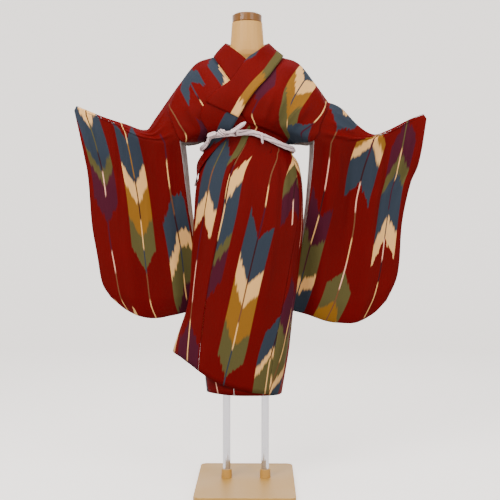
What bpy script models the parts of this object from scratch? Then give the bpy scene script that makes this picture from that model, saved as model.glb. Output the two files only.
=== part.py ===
"""A kofurisode kimono, tied with its cord sash, on a limbless dress form. Metres, +Z up.

The origin is the middle of the underside of the form's base. +X is the wearer's left, where the outer front
comes from, and the front faces -Y. Every cloth is an open grid of points that Solidify turns into a wall.
"""

import math

import bmesh
import bpy
from mathutils import Matrix, Vector
from mathutils.bvhtree import BVHTree

# Walls and clearances
BODY_WALL = 0.0015
COLLAR_WALL = 0.0020
SLEEVE_WALL = 0.0013
LINING_WALL = 0.0010
SEAM_GAP = 0.0008
LAYER_GAP = 0.0005
SETTLE_MARGIN = 0.0014
SAMPLE_SHARES = (0.25, 0.5, 0.75)
SETTLE_REACH = 0.030
SETTLE_PASSES = 8
FLATTEST = 0.35
CORE_TOP = 1.330
LAYER = 0.0040
BODICE_OVER, BODICE_UNDER = 0.0030, 0.0050
UNDER_INSET = 0.0060

# The kimono's middle lies a little to the wearer's left of the form's
CENTRE_X = 0.0045
RING_POWER = 2.15
SEAM_RAMP = 0.55

# Level sections of the worn skirt: how far each side reaches from the origin's axis
SKIRT_COLUMNS = ("height", "left", "right", "over_left", "front", "back")
SKIRT = (
    (1.225, 0.1400, 0.1460, 0.1450, 0.1060, 0.0940),
    (1.190, 0.1370, 0.1430, 0.1420, 0.1010, 0.0900),
    (1.165, 0.1360, 0.1420, 0.1410, 0.0900, 0.0850),
    (1.105, 0.1370, 0.1430, 0.1420, 0.0905, 0.0855),
    (1.060, 0.1500, 0.1720, 0.1560, 0.0970, 0.0980),
    (0.993, 0.1570, 0.1840, 0.1630, 0.1040, 0.1120),
    (0.924, 0.1620, 0.1870, 0.1680, 0.1070, 0.1180),
    (0.842, 0.1660, 0.1860, 0.1730, 0.1060, 0.1160),
    (0.759, 0.1690, 0.1780, 0.1780, 0.1030, 0.1100),
    (0.640, 0.1690, 0.1680, 0.1850, 0.0980, 0.1000),
    (0.581, 0.1650, 0.1580, 0.1950, 0.0950, 0.0950),
    (0.495, 0.1540, 0.1490, 0.2240, 0.0920, 0.0900),
    (0.436, 0.1440, 0.1420, 0.2420, 0.0900, 0.0870),
    (0.290, 0.1270, 0.1170, 0.2620, 0.0860, 0.0820),
)

# Where the seams of the fronts run on the skirt, as the distance to the wearer's left of the middle
SEAM_COLUMNS = ("height", "over_seam", "over_side", "under_seam", "under_side")
SEAMS = (
    (1.240, 0.0040, 0.1480, 0.0000, -0.1400),
    (1.150, 0.0140, 0.1400, 0.0000, -0.1340),
    (1.028, -0.0465, 0.1640, 0.0250, -0.1350),
    (0.890, -0.0755, 0.1680, 0.0500, -0.1300),
    (0.759, -0.1010, 0.1460, 0.0600, -0.1180),
    (0.618, -0.1268, 0.1220, 0.0600, -0.1020),
    (0.495, -0.1430, 0.1000, 0.0600, -0.0880),
    (0.386, -0.1530, 0.0840, 0.0600, -0.0780),
    (0.290, -0.1560, 0.0724, 0.0600, -0.0720),
)
UNDER_FREE_DEGREES = 58
OVER_FREE_DEGREES = -90

# The hems: height by how far round the panel is, -90 degrees being the wearer's right
HEM_COLUMNS = ("degrees", "over", "plain")
HEMS = (
    (-95, 0.443, 0.306),
    (-62, 0.428, 0.308),
    (-45, 0.404, 0.308),
    (-33, 0.378, 0.307),
    (-20, 0.349, 0.306),
    (0, 0.322, 0.305),
    (20, 0.313, 0.304),
    (40, 0.308, 0.303),
    (90, 0.300, 0.300),
    (180, 0.298, 0.298),
)

# Soft folds that run down the skirt: degrees at the top and at the foot, top and bottom heights,
# width in degrees, and depth
DRAPES = (
    (62, 48, 1.080, 0.420, 9.0, 0.0055),
    (86, 78, 1.070, 0.300, 8.0, -0.0050),
    (24, 10, 1.060, 0.560, 10.0, 0.0030),
    (-24, -34, 1.040, 0.480, 9.0, -0.0030),
    (118, 112, 1.080, 0.320, 10.0, 0.0060),
    (148, 150, 1.060, 0.340, 9.0, -0.0045),
    (-150, -152, 1.080, 0.320, 10.0, 0.0055),
    (-122, -118, 1.070, 0.340, 9.0, -0.0045),
)

# The bodice on the outer front's side: rows go down from the shoulder, places go out from the collar seam
FRONT_NET = (
    ("ridge", (0.1125, 0.002, 1.4070), (0.1720, 0.004, 1.3860), (0.2246, 0.008, 1.3235), (0.2720, 0.012, 1.2590)),
    ("chest", (0.0830, -0.050, 1.3650), (0.1450, -0.058, 1.3460), (0.2040, -0.045, 1.2880), (0.2640, -0.026, 1.2320)),
    ("bust", (0.0290, -0.096, 1.2890), (0.0980, -0.113, 1.2700), (0.1680, -0.094, 1.2300), (0.2460, -0.060, 1.1840)),
    ("under", (-0.0120, -0.108, 1.2220), (0.0760, -0.114, 1.1980), (0.1440, -0.092, 1.1680), (0.2200, -0.072, 1.1280)),
    ("gather", (0.0040, -0.1015, 1.1840), (0.0620, -0.101, 1.1660), (0.1250, -0.074, 1.1480), (0.1780, -0.044, 1.1240)),
)
BACK_NET = (
    ("ridge", (0.1125, 0.002, 1.4070), (0.1720, 0.004, 1.3860), (0.2246, 0.008, 1.3235), (0.2720, 0.012, 1.2590)),
    ("neck", (0.0850, 0.0440, 1.4050), (0.1480, 0.0400, 1.3790), (0.2120, 0.0340, 1.3080), (0.2690, 0.030, 1.2440)),
    ("nape", (0.0045, 0.0880, 1.3880), (0.1000, 0.0780, 1.3560), (0.1900, 0.0640, 1.2880), (0.2640, 0.046, 1.2240)),
    ("blade", (0.0045, 0.102, 1.3000), (0.0950, 0.105, 1.2800), (0.1720, 0.088, 1.2380), (0.2460, 0.072, 1.1840)),
    ("under", (0.0045, 0.098, 1.2200), (0.0850, 0.102, 1.2080), (0.1550, 0.092, 1.1760), (0.2200, 0.084, 1.1280)),
    ("gather", (0.0045, 0.088, 1.1780), (0.0780, 0.088, 1.1700), (0.1300, 0.066, 1.1500), (0.1780, 0.052, 1.1240)),
)

# The collar from the back of the neck to the outer front's end: the sewn edge and the free edge
COLLAR_NECK = (
    ((0.0000, 0.0860, 1.3930), (0.0000, 0.0800, 1.4480)),
    ((0.0400, 0.0740, 1.3990), (0.0360, 0.0690, 1.4520)),
    ((0.0820, 0.0420, 1.4080), (0.0600, 0.0390, 1.4520)),
    ((0.1075, 0.0040, 1.4110), (0.0725, 0.0040, 1.4490)),
)
COLLAR_FRONT = (
    ((0.0800, -0.0540, 1.3660), (0.0470, -0.0470, 1.4230)),
    ((0.0500, -0.0800, 1.3230), (0.0080, -0.0650, 1.3880)),
    ((0.0250, -0.0990, 1.2860), (-0.0270, -0.0880, 1.3380)),
    ((-0.0010, -0.1090, 1.2440), (-0.0620, -0.0990, 1.2960)),
    ((-0.0220, -0.1070, 1.2040), (-0.0960, -0.0940, 1.2500)),
    ((-0.0420, -0.0980, 1.1640), (-0.1230, -0.0930, 1.2030)),
    ((-0.0620, -0.0900, 1.1340), (-0.1120, -0.0900, 1.1560)),
)
# Below that the collar lies on the skirt: height and distance from the middle of the sewn edge, then height and
# degrees of the free edge
COLLAR_LOW = (
    (1.104, -0.0900, 1.108, -56.0),
    (1.054, -0.1300, 1.056, -92.0),
    (0.984, -0.1600, 0.984, -106.0),
)
# The outer collar's sewn edge by height, from the point where the overlap starts down to its foot
SEWN_COLUMNS = ("height", "x", "y")
SEWN_EDGE = (
    (1.222, -0.0140, -0.1080),
    (1.204, -0.0220, -0.1070),
    (1.164, -0.0420, -0.0980),
    (1.104, -0.0900, -0.0800),
    (1.054, -0.1300, -0.0600),
    (0.984, -0.1600, -0.0300),
)
SEWN_END, FREE_START = 0.984, 0.930
COLLAR_CROWN = 0.002
OVER_COLLAR_START, OVER_COLLAR_END = 0.10, 0.765
# How far the collar laps over the body's edge, as a share of its width, by share along it
LAP_COLUMNS = ("along", "lap")
LAPS = ((0.00, -0.07), (0.26, -0.09), (0.34, -0.17), (0.54, -0.17), (0.62, -0.09), (1.00, -0.07))

# Sleeves, by station from the armhole (0) to the tip (1): the top fold and the line the sleeve hangs from
SLEEVE_TOP_COLUMNS = ("station", "top_x", "top_z", "line_x", "line_z", "back")
SLEEVE_TOP_LEFT = (
    (0.00, 0.2720, 1.2590, 0.2200, 1.1280, 0.012),
    (0.12, 0.3100, 1.2450, 0.2620, 1.1215, 0.014),
    (0.31, 0.3710, 1.1840, 0.3280, 1.1225, 0.018),
    (0.47, 0.4220, 1.1560, 0.3980, 1.1340, 0.026),
    (0.62, 0.4700, 1.1700, 0.4620, 1.1530, 0.036),
    (0.85, 0.5430, 1.2070, 0.5410, 1.1920, 0.048),
    (1.00, 0.5930, 1.2270, 0.6030, 1.2110, 0.060),
)
SLEEVE_TOP_RIGHT = (
    (0.00, 0.2720, 1.2590, 0.2200, 1.1280, 0.012),
    (0.13, 0.3110, 1.2040, 0.2620, 1.1225, 0.014),
    (0.22, 0.3380, 1.1710, 0.2960, 1.1250, 0.018),
    (0.45, 0.4100, 1.1915, 0.3880, 1.1500, 0.030),
    (0.70, 0.4850, 1.2165, 0.4740, 1.1990, 0.042),
    (0.85, 0.5330, 1.2360, 0.5310, 1.2210, 0.052),
    (1.00, 0.5790, 1.2560, 0.5860, 1.2400, 0.060),
)
# The open inner edge: share of the way down, place, and the front and back cloth's distance behind the middle
FURI_COLUMNS = ("share", "x", "z", "front_y", "back_y")
FURI_LEFT = (
    (0.00, 0.2200, 1.1280, -0.072, 0.084),
    (0.12, 0.2180, 1.0700, -0.046, 0.088),
    (0.40, 0.2040, 0.9040, 0.014, 0.092),
    (0.60, 0.1860, 0.7900, 0.046, 0.094),
    (0.80, 0.1680, 0.6700, 0.058, 0.092),
    (1.00, 0.1480, 0.5680, 0.062, 0.094),
)
FURI_RIGHT = (
    (0.00, 0.2200, 1.1280, -0.072, 0.084),
    (0.12, 0.2140, 1.0700, -0.046, 0.088),
    (0.40, 0.1980, 0.9000, 0.014, 0.092),
    (0.60, 0.1830, 0.7900, 0.048, 0.096),
    (0.80, 0.1680, 0.6700, 0.064, 0.098),
    (1.00, 0.1510, 0.5720, 0.070, 0.102),
)
# The outer edge from the tip to the middle of the rounded corner
OUTER_COLUMNS = ("share", "x", "z")
OUTER_LEFT = (
    (0.00, 0.6030, 1.2110),
    (0.24, 0.5760, 1.0600),
    (0.35, 0.5510, 0.9960),
    (0.56, 0.5240, 0.8680),
    (0.80, 0.5140, 0.7230),
    (0.89, 0.5030, 0.6680),
    (1.00, 0.4720, 0.6020),
)
OUTER_RIGHT = (
    (0.00, 0.5860, 1.2400),
    (0.15, 0.5650, 1.1510),
    (0.35, 0.5420, 1.0230),
    (0.60, 0.5290, 0.8580),
    (0.78, 0.5110, 0.7500),
    (0.90, 0.4950, 0.6600),
    (1.00, 0.4680, 0.6140),
)
# The bottom edge from the inner edge to the middle of the rounded corner
BOTTOM_COLUMNS = ("share", "x", "z")
BOTTOM_LEFT = (
    (0.00, 0.1480, 0.5680),
    (0.20, 0.2110, 0.5520),
    (0.40, 0.2780, 0.5290),
    (0.56, 0.3290, 0.5240),
    (0.69, 0.3710, 0.5280),
    (0.87, 0.4290, 0.5570),
    (1.00, 0.4720, 0.6020),
)
BOTTOM_RIGHT = (
    (0.00, 0.1510, 0.5720),
    (0.21, 0.2180, 0.5590),
    (0.36, 0.2660, 0.5480),
    (0.51, 0.3130, 0.5390),
    (0.65, 0.3560, 0.5440),
    (0.85, 0.4160, 0.5690),
    (1.00, 0.4680, 0.6140),
)
# Soft waves of the hanging sleeves: station at the top and at the foot, width, and depth
WAVES = (
    (0.18, 0.26, 0.09, -0.010),
    (0.40, 0.50, 0.10, 0.009),
    (0.62, 0.70, 0.08, -0.008),
    (0.86, 0.84, 0.07, 0.006),
)
CUFF_SHARE = 0.34
SLEEVE_STATIONS = (0.0, 0.10, 0.22, 0.35, 0.48, 0.61, 0.74, 0.86, 0.95, 0.985, 1.0)
SLEEVE_SHARES = (0.0, 0.10, 0.22, 0.34, 0.46, 0.58, 0.70, 0.82, 0.93, 0.985, 1.0)
ROLL_SHARES = (0.28, 0.52, 0.78)
ROLL_BULGE = 0.020
BAG_HALF = 0.015
CUFF_HALF = 0.011
TOP_HALF = 0.005

# The sash
BAND_COLUMNS = ("degrees", "height")
BAND = (
    (-180, 1.124),
    (-135, 1.116),
    (-90, 1.107),
    (-65, 1.114),
    (-45, 1.139),
    (0, 1.150),
    (14, 1.149),
    (42, 1.127),
    (75, 1.103),
    (110, 1.104),
    (145, 1.116),
    (180, 1.124),
)
BAND_TALL = 0.026
BAND_DEEP = 0.010
BAND_STEPS = 56
BAND_SIDES = 8
BAND_TWISTS = 11
BAND_SWELL = 0.10
BAND_CLEAR = 0.0018
BAND_LOOK = math.radians(4)
BELT_RISE = 0.020
KNOT_DEGREES = -31
KNOT_WIDE, KNOT_DEEP, KNOT_TALL = 0.036, 0.020, 0.029
KNOT_RISE = 0.002
KNOT_CLEAR = 0.0006
KNOT_REACH = 9.0
TAIL_TALL, TAIL_DEEP = 0.020, 0.008
TAIL_CLEAR = 0.0035
SEAT_GAP = 0.0005
SEAT_REACH = 0.05
TUCK_DEGREES = 24
TUCK_RISE = 0.002

# The dress form
FORM_COLUMNS = ("height", "middle", "half_width", "front", "back")
FORM = (
    (0.800, 0.0020, 0.0800, 0.0550, 0.0600),
    (0.806, 0.0020, 0.1200, 0.0740, 0.0800),
    (0.840, 0.0020, 0.1400, 0.0840, 0.0950),
    (0.900, 0.0020, 0.1430, 0.0860, 0.1000),
    (0.980, 0.0020, 0.1370, 0.0840, 0.0940),
    (1.060, 0.0010, 0.1310, 0.0820, 0.0840),
    (1.110, 0.0002, 0.1344, 0.0843, 0.0836),
    (1.165, 0.0002, 0.1344, 0.0843, 0.0836),
    (1.200, 0.0020, 0.1350, 0.0900, 0.0830),
    (1.250, 0.0045, 0.1400, 0.0930, 0.0860),
    (1.300, 0.0045, 0.1500, 0.0780, 0.0840),
    (1.335, 0.0045, 0.1640, 0.0560, 0.0660),
    (1.357, 0.0045, 0.1690, 0.0440, 0.0520),
    (1.371, 0.0045, 0.1690, 0.0360, 0.0440),
    (1.379, 0.0045, 0.1640, 0.0330, 0.0390),
    (1.390, 0.0045, 0.1380, 0.0320, 0.0390),
    (1.400, 0.0045, 0.1080, 0.0350, 0.0400),
    (1.410, 0.0045, 0.0800, 0.0400, 0.0440),
    (1.424, 0.0045, 0.0610, 0.0440, 0.0460),
    (1.450, 0.0045, 0.0545, 0.0460, 0.0480),
    (1.517, 0.0045, 0.0498, 0.0472, 0.0480),
)
FORM_SIDES = 28
FORM_CLEAR = 0.0004
SHOULDER_FOOT, SHOULDER_INNER = 1.365, 0.100
CAP_TOP = 1.549
CAP_RADIUS = 0.0485
POLE_RADIUS = 0.0127
POLE_X = 0.0640
SOCKET_RADIUS = 0.0150
SOCKET_HEIGHT = 0.028
BASE_WIDTH = 0.320
BASE_FRONT = -0.235
BASE_BACK = 0.175
BASE_THICK = 0.018
BASE_CORNER = 0.022


def column(rows, columns, name):
    place = columns.index(name)
    return [row[place] for row in rows]


def smooth_between(keys, values, at):
    """A Catmull-Rom curve through values at keys that rise or fall; it is held level past both ends."""
    if keys[0] > keys[-1]:
        keys, values = keys[::-1], values[::-1]
    if at <= keys[0]:
        return values[0]
    if at >= keys[-1]:
        return values[-1]
    i = max(k for k in range(len(keys) - 1) if keys[k] <= at)
    before, after = max(i - 1, 0), min(i + 2, len(keys) - 1)
    span = keys[i + 1] - keys[i]
    share = (at - keys[i]) / span
    slope_a = (values[i + 1] - values[before]) / (keys[i + 1] - keys[before]) * span
    slope_b = (values[after] - values[i]) / (keys[after] - keys[i]) * span
    s2, s3 = share * share, share * share * share
    return (
        (2 * s3 - 3 * s2 + 1) * values[i]
        + (s3 - 2 * s2 + share) * slope_a
        + (-2 * s3 + 3 * s2) * values[i + 1]
        + (s3 - s2) * slope_b
    )


def look_up(rows, columns, name, at, key=None):
    return smooth_between(column(rows, columns, key or columns[0]), column(rows, columns, name), at)


def spline_point(points, share):
    """A point on the Catmull-Rom curve through the points, which are evenly spread over 0 to 1."""
    keys = [i / (len(points) - 1) for i in range(len(points))]
    return Vector([smooth_between(keys, [p[axis] for p in points], share) for axis in range(3)])


def ramp(value):
    value = min(max(value, 0.0), 1.0)
    return value * value * (3 - 2 * value)


def spread(start, end, count):
    return [start + (end - start) * i / count for i in range(count + 1)]


def drape(height, angle):
    """How far the skirt's soft folds lift or sink the cloth at this place."""
    lift = 0.0
    for row in DRAPES:
        top_at, low_at, top, bottom, width, depth = row
        if not bottom - 0.08 < height < top:
            continue
        share = (top - height) / (top - bottom)
        middle = math.radians(top_at + (low_at - top_at) * min(share, 1.0))
        away = (angle - middle + math.pi) % (2 * math.pi) - math.pi
        window = ramp(share * 4) * ramp((height - bottom + 0.08) / 0.16)
        lift += depth * window * math.exp(-((away / math.radians(width)) ** 2))
    return lift


def skirt_point(height, angle, layer="base", raised=0.0):
    """A point of the worn skirt. The angle is 0 at the front and grows towards the wearer's left."""
    size = {name: look_up(SKIRT, SKIRT_COLUMNS, name, height) for name in SKIRT_COLUMNS[1:]}
    across, along = math.sin(angle), math.cos(angle)
    side = size["right"] if across > 0 else size["left"]
    depth = size["front"] if along > 0 else size["back"]
    if layer == "over":
        side = size["right"] if across > 0 else size["over_left"]
        depth += LAYER * ramp((side_angle(height, "over") - angle) / SEAM_RAMP) if along > 0 else LAYER
    if layer == "under":
        inner = ramp((angle - side_angle(height, "under")) / SEAM_RAMP)
        side -= UNDER_INSET if across > 0 else 0.0
        depth -= LAYER * inner if along > 0 else UNDER_INSET
    lift = drape(height, angle) + raised
    power = 2 / RING_POWER
    x = math.copysign(abs(across) ** power, across) * (side + lift)
    y = -math.copysign(abs(along) ** power, along) * (depth + lift)
    return Vector((x, y, height))


def angle_at(height, x):
    """The angle on the front of the skirt whose point has this x."""
    size = "right" if x > 0 else "over_left"
    share = min(abs(x) / look_up(SKIRT, SKIRT_COLUMNS, size, height), 1.0)
    return math.copysign(math.asin(share ** (RING_POWER / 2)), x)


def side_angle(height, layer):
    return angle_at(height, look_up(SEAMS, SEAM_COLUMNS, layer + "_side", height))


def seam_angle(height, layer):
    return angle_at(height, look_up(SEAMS, SEAM_COLUMNS, layer + "_seam", height))


def hem_height(angle, layer):
    return look_up(HEMS, HEM_COLUMNS, "over" if layer == "over" else "plain", math.degrees(angle))


def net_point(net, down, out):
    """A point of a bodice net: down counts its rows, and out runs from the collar (0) to the armhole (1)."""
    line = [spline_point(row[1:], out) for row in net]
    return spline_point(line, down / (len(net) - 1))


def mirrored(point):
    return Vector((2 * CENTRE_X - point[0], point[1], point[2]))


# Making meshes


def material(name, colour, roughness, metallic=0.0):
    made = bpy.data.materials.new(name)
    made.use_nodes = True
    shader = made.node_tree.nodes["Principled BSDF"]
    shader.inputs["Base Color"].default_value = (*colour, 1.0)
    shader.inputs["Roughness"].default_value = roughness
    shader.inputs["Metallic"].default_value = metallic
    return made


def link(name, mesh, finish):
    made = bpy.data.objects.new(name, mesh)
    parts.objects.link(made)
    mesh.materials.append(finish)
    return made


def grid_mesh(name, rows, around=False, outward=None):
    """An open sheet through rows of points. With around, the last row joins the first."""
    made = bmesh.new()
    placed = [[made.verts.new(point) for point in row] for row in rows]
    count = len(placed) if around else len(placed) - 1
    for i in range(count):
        first, second = placed[i], placed[(i + 1) % len(placed)]
        for j in range(len(first) - 1):
            made.faces.new((first[j], first[j + 1], second[j + 1]))
            made.faces.new((first[j], second[j + 1], second[j]))
    bmesh.ops.remove_doubles(made, verts=made.verts, dist=1e-6)
    made.normal_update()
    if outward is not None:
        at = made.faces[:]
        facing = sum(face.normal.dot(face.calc_center_median() - outward) * face.calc_area() for face in at)
        if facing < 0:
            bmesh.ops.reverse_faces(made, faces=at)
    mesh = bpy.data.meshes.new(name)
    made.to_mesh(mesh)
    made.free()
    return mesh


def wall(name, mesh, thickness, finish):
    made = link(name, mesh, finish)
    made.data.shade_smooth()
    solid = made.modifiers.new("wall", "SOLIDIFY")
    solid.thickness = thickness
    solid.offset = 0.0
    solid.use_even_offset = False
    return made


def moved_out(mesh, distance):
    """A copy of the sheet moved along its normals, further where it turns sharply, so the layers stay apart."""
    copy = mesh.copy()
    facing = [[] for _ in mesh.vertices]
    for face in mesh.polygons:
        for corner in face.vertices:
            facing[corner].append(face.normal.copy())
    normals = [vertex.normal.copy() for vertex in mesh.vertices]
    for vertex, normal, around in zip(copy.vertices, normals, facing):
        even = sum(normal.dot(face) for face in around) / len(around)
        vertex.co += normal * distance / max(even, 0.45)
    return copy


def points_of(rows):
    return [point for row in rows for point in row]


def faces_of(rows, start=0):
    """The triangles between rows of points, as numbers of their points, split the same way as in grid_mesh."""
    wide = len(rows[0])
    faces = []
    for i in range(len(rows) - 1):
        for j in range(wide - 1):
            first = start + i * wide + j
            faces.append((first, first + 1, first + wide + 1))
            faces.append((first, first + wide + 1, first + wide))
    return faces


def tree_of(sheets):
    """One search tree over the faces of these sheets, each given as rows of points."""
    points, faces = [], []
    for rows in sheets:
        faces += faces_of(rows, len(points))
        points += points_of(rows)
    return BVHTree.FromPolygons(points, faces)


def samples_of(points, faces):
    """Points all over a sheet, each with the numbers of the corners that carry it."""
    found = [((i,), point) for i, point in enumerate(points)]
    for face in faces:
        for i, j in ((0, 1), (1, 2), (2, 0)):
            start, end = points[face[i]], points[face[j]]
            for share in SAMPLE_SHARES:
                found.append(((face[i], face[j]), start.lerp(end, share)))
    return found


def core_of(point):
    """The point on the body's upright axis that this point lies out from."""
    return Vector((CENTRE_X, 0.0, min(point.z, CORE_TOP)))


def meeting(point, tree, side):
    """Where the line out from the core through the point meets the tree, and at how steep an angle."""
    core = core_of(point)
    reach = (point - core).length
    out = (point - core) / reach
    start = core + out * (reach + side * SETTLE_REACH)
    hit, normal, index, _ = tree.ray_cast(start, -out * side, 2 * SETTLE_REACH)
    if hit is None:
        return None
    return (hit - core).length - reach, max(abs(normal.dot(out)), FLATTEST), index


def settled(rows, others, clear, moves=None, side=1):
    """The sheet moved out from the core until it clears the others inside it. With side -1 it moves in."""
    wide = len(rows[0])
    points, faces = [point.copy() for point in points_of(rows)], faces_of(rows)
    free = [moves is None or moves(point, i // wide) for i, point in enumerate(points)]
    others_tree = tree_of(others)
    marks = [mark for sheet in others for _, mark in samples_of(points_of(sheet), faces_of(sheet))]
    clear += SETTLE_MARGIN
    for _ in range(SETTLE_PASSES):
        push = [0.0] * len(points)
        for owners, point in samples_of(points, faces):
            found = meeting(point, others_tree, side)
            if found is not None:
                short = side * found[0] + clear / found[1]
                for i in owners:
                    push[i] = max(push[i], short)
        own_tree = BVHTree.FromPolygons(points, faces)
        for mark in marks:
            found = meeting(mark, own_tree, side)
            if found is not None:
                short = clear / found[1] - side * found[0]
                for i in faces[found[2]]:
                    push[i] = max(push[i], short)
        for i, point in enumerate(points):
            if free[i] and push[i] > 0:
                points[i] = point + (point - core_of(point)).normalized() * push[i] * side
    return [points[i : i + wide] for i in range(0, len(points), wide)]


def lifted(rows, distance):
    """The sheet moved out along its normals."""
    mesh = moved_out(outward_mesh("lifted", rows), distance)
    points = [vertex.co.copy() for vertex in mesh.vertices]
    wide = len(rows[0])
    return [points[i : i + wide] for i in range(0, len(points), wide)]


def outward_mesh(name, rows):
    """An open sheet whose faces look away from the upright axis."""
    mesh = grid_mesh(name, rows)
    facing = 0.0
    for face in mesh.polygons:
        away = face.center - Vector((CENTRE_X, 0.0, face.center.z))
        facing += face.normal.dot(away) * face.area
    if facing < 0:
        mesh.flip_normals()
    return mesh


# The kimono

BODY_COLUMNS = 12
SKIRT_ROWS = 13
BODICE_FRONT_ROWS = 9
BODICE_BACK_ROWS = 10


def gap_share(first, second):
    """How much of the way from the first point to the second one seam gap is."""
    return SEAM_GAP / max((second - first).length, SEAM_GAP)


def belt_height(angle):
    """Where the bodice ends and the skirt begins, just above the sash."""
    return look_up(BAND, BAND_COLUMNS, "height", math.degrees(angle)) + BELT_RISE


def skirt_row(share, layer, hem, columns, ends):
    """One row of the skirt, share of the way down. ends gives the angles of its two ends at a height."""
    row = []
    for out in spread(0.0, 1.0, columns):
        height = SKIRT[0][0]
        for _ in range(4):
            start, end = ends(height)
            angle = start + (end - start) * out
            top = belt_height(angle)
            height = top + (hem_height(angle, hem) - top) * share
        row.append(skirt_point(height, angle, layer))
    return trimmed(row)


def skirt_front_row(share, layer):
    """A row of a front panel, from its overlap seam to its side seam."""
    return skirt_row(share, layer, layer, BODY_COLUMNS, lambda z: (seam_angle(z, layer), side_angle(z, layer)))


def skirt_back_row(share, layer):
    """A row of a back panel, from the centre back round to the side seam."""
    back = math.pi if layer == "over" else -math.pi
    return skirt_row(share, "base", "plain", BODY_COLUMNS, lambda z: (back, side_angle(z, layer)))


def free_angle(height, layer):
    """The angle of an overlap's outer edge: sewn to the collar above, free below."""
    if layer == "under":
        return math.radians(UNDER_FREE_DEGREES)
    sewn = angle_at(height, look_up(SEWN_EDGE, SEWN_COLUMNS, "x", height))
    loose = ramp((SEWN_END - height) / (SEWN_END - FREE_START))
    return sewn + (math.radians(OVER_FREE_DEGREES) - sewn) * loose


def overlap_row(share, layer):
    """A row of an overlap, from its seam with the front to its outer edge."""
    return skirt_row(share, layer, layer, OVERLAP_COLUMNS, lambda z: (seam_angle(z, layer), free_angle(z, layer)))


def trimmed(row):
    """The row with both of its ends drawn in by half a seam gap."""
    first, last = row[0].copy(), row[-1].copy()
    row[0] = first.lerp(row[1], gap_share(first, row[1]) / 2)
    row[-1] = last.lerp(row[-2], gap_share(last, row[-2]) / 2)
    return row


def bodice_row(net, down, layer, belt_row):
    """One row of the bodice. Past the net's last row it blends into the row at the belt."""
    last = len(net) - 1
    row = []
    for j, out in enumerate(spread(0.0, 1.0, BODY_COLUMNS)):
        point = net_point(net, min(down, last), out)
        point.x = max(point.x, CENTRE_X) if point.y > 0 else point.x
        if layer == "under":
            point = mirrored(point)
        point = point + layer_shift(point, layer)
        if down > last:
            point = point.lerp(belt_row[j], down - last)
        row.append(point)
    return trimmed(row) if down <= last else row


def layer_shift(point, layer):
    """Where the fronts cross, the outer one lies further out and the other further in."""
    if point.y > 0:
        return Vector((0, 0, 0))
    crossing = ramp(-point.y / 0.03)
    if layer == "over":
        return Vector((0, -BODICE_OVER * crossing * ramp((0.11 - point.x) / 0.07), 0))
    return Vector((0, BODICE_UNDER * crossing * ramp((point.x + 0.11) / 0.07), 0))


def body_rows(layer):
    """A body cloth's rows, from the front hem up over the shoulder and down to the back hem."""
    front_belt, back_belt = skirt_front_row(0.0, layer), skirt_back_row(0.0, layer)
    rows = [skirt_front_row(share, layer) for share in spread(1.0, 0.0, SKIRT_ROWS)]
    downs = spread(len(FRONT_NET), 0.0, BODICE_FRONT_ROWS)[1:]
    rows += [bodice_row(FRONT_NET, down, layer, front_belt) for down in downs]
    downs = spread(0.0, len(BACK_NET), BODICE_BACK_ROWS)[1:-1]
    rows += [bodice_row(BACK_NET, down, layer, back_belt) for down in downs]
    rows += [skirt_back_row(share, layer) for share in spread(0.0, 1.0, SKIRT_ROWS)]
    return rows


OVERLAP_COLUMNS = 5
OVERLAP_TOP_DOWN = 3.3


def overlap_rows(layer):
    """An overlap's rows from the top down. The outer one starts in a point beside the collar."""
    rows = []
    if layer == "over":
        belt = skirt_front_row(0.0, layer)
        for down in spread(len(FRONT_NET), 0.0, BODICE_FRONT_ROWS)[1:]:
            if down > OVERLAP_TOP_DOWN:
                seam = bodice_row(FRONT_NET, down, layer, belt)[0]
                place = {axis: look_up(SEWN_EDGE, SEWN_COLUMNS, axis, seam.z) for axis in ("x", "y")}
                sewn = Vector((place["x"], place["y"], seam.z)) + layer_shift(seam, layer)
                row = [seam.lerp(sewn, share) for share in spread(0.0, 1.0, OVERLAP_COLUMNS)]
                row[0] = seam.lerp(sewn, gap_share(seam, sewn))
                rows.insert(0, row)
    return rows + [overlap_row(share, layer) for share in spread(0.0, 1.0, SKIRT_ROWS)]


def collar_sections():
    """The collar's sewn and free edges, from the inner front's end round the neck to the outer front's end."""
    outer = [tuple(Vector(p) for p in pair) for pair in COLLAR_FRONT]
    for sewn_z, sewn_x, free_z, free_degrees in COLLAR_LOW:
        sewn = skirt_point(sewn_z, angle_at(sewn_z, sewn_x), "over")
        outer.append((sewn, skirt_point(free_z, math.radians(free_degrees), "over")))
    inner = []
    for pair in reversed(COLLAR_FRONT[:-2]):
        turned = [mirrored(p) for p in pair]
        inner.append(tuple(p + layer_shift(p, "under") for p in turned))
    neck = [tuple(Vector(p) for p in pair) for pair in COLLAR_NECK]
    neck_inner = [tuple(mirrored(p) for p in pair) for pair in reversed(COLLAR_NECK[1:])]
    return inner + neck_inner + neck + outer


def collar_rows(steps):
    """Rows across the collar, all the way along it, from the lap over the body to the free edge."""
    sections = collar_sections()
    sewn, free = [pair[0] for pair in sections], [pair[1] for pair in sections]
    rows = []
    for share in spread(0.0, 1.0, steps):
        a, b = spline_point(sewn, share), spline_point(free, share)
        along = spline_point(sewn, min(share + 0.01, 1.0)) - spline_point(sewn, max(share - 0.01, 0.0))
        out = (b - a).cross(along).normalized()
        if out.dot(a - Vector((CENTRE_X, 0.0, a.z))) < 0:
            out.negate()
        shares = spread(look_up(LAPS, LAP_COLUMNS, "lap", share), 1.0, COLLAR_ACROSS)
        rows.append([a.lerp(b, w) + out * COLLAR_CROWN * math.sin(math.pi * max(w, 0.0)) for w in shares])
    return rows


COLLAR_ACROSS = 4
COLLAR_STEPS = 44
NECK_BACK = 8 / 18
CROSSING_ROWS = 14


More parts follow.
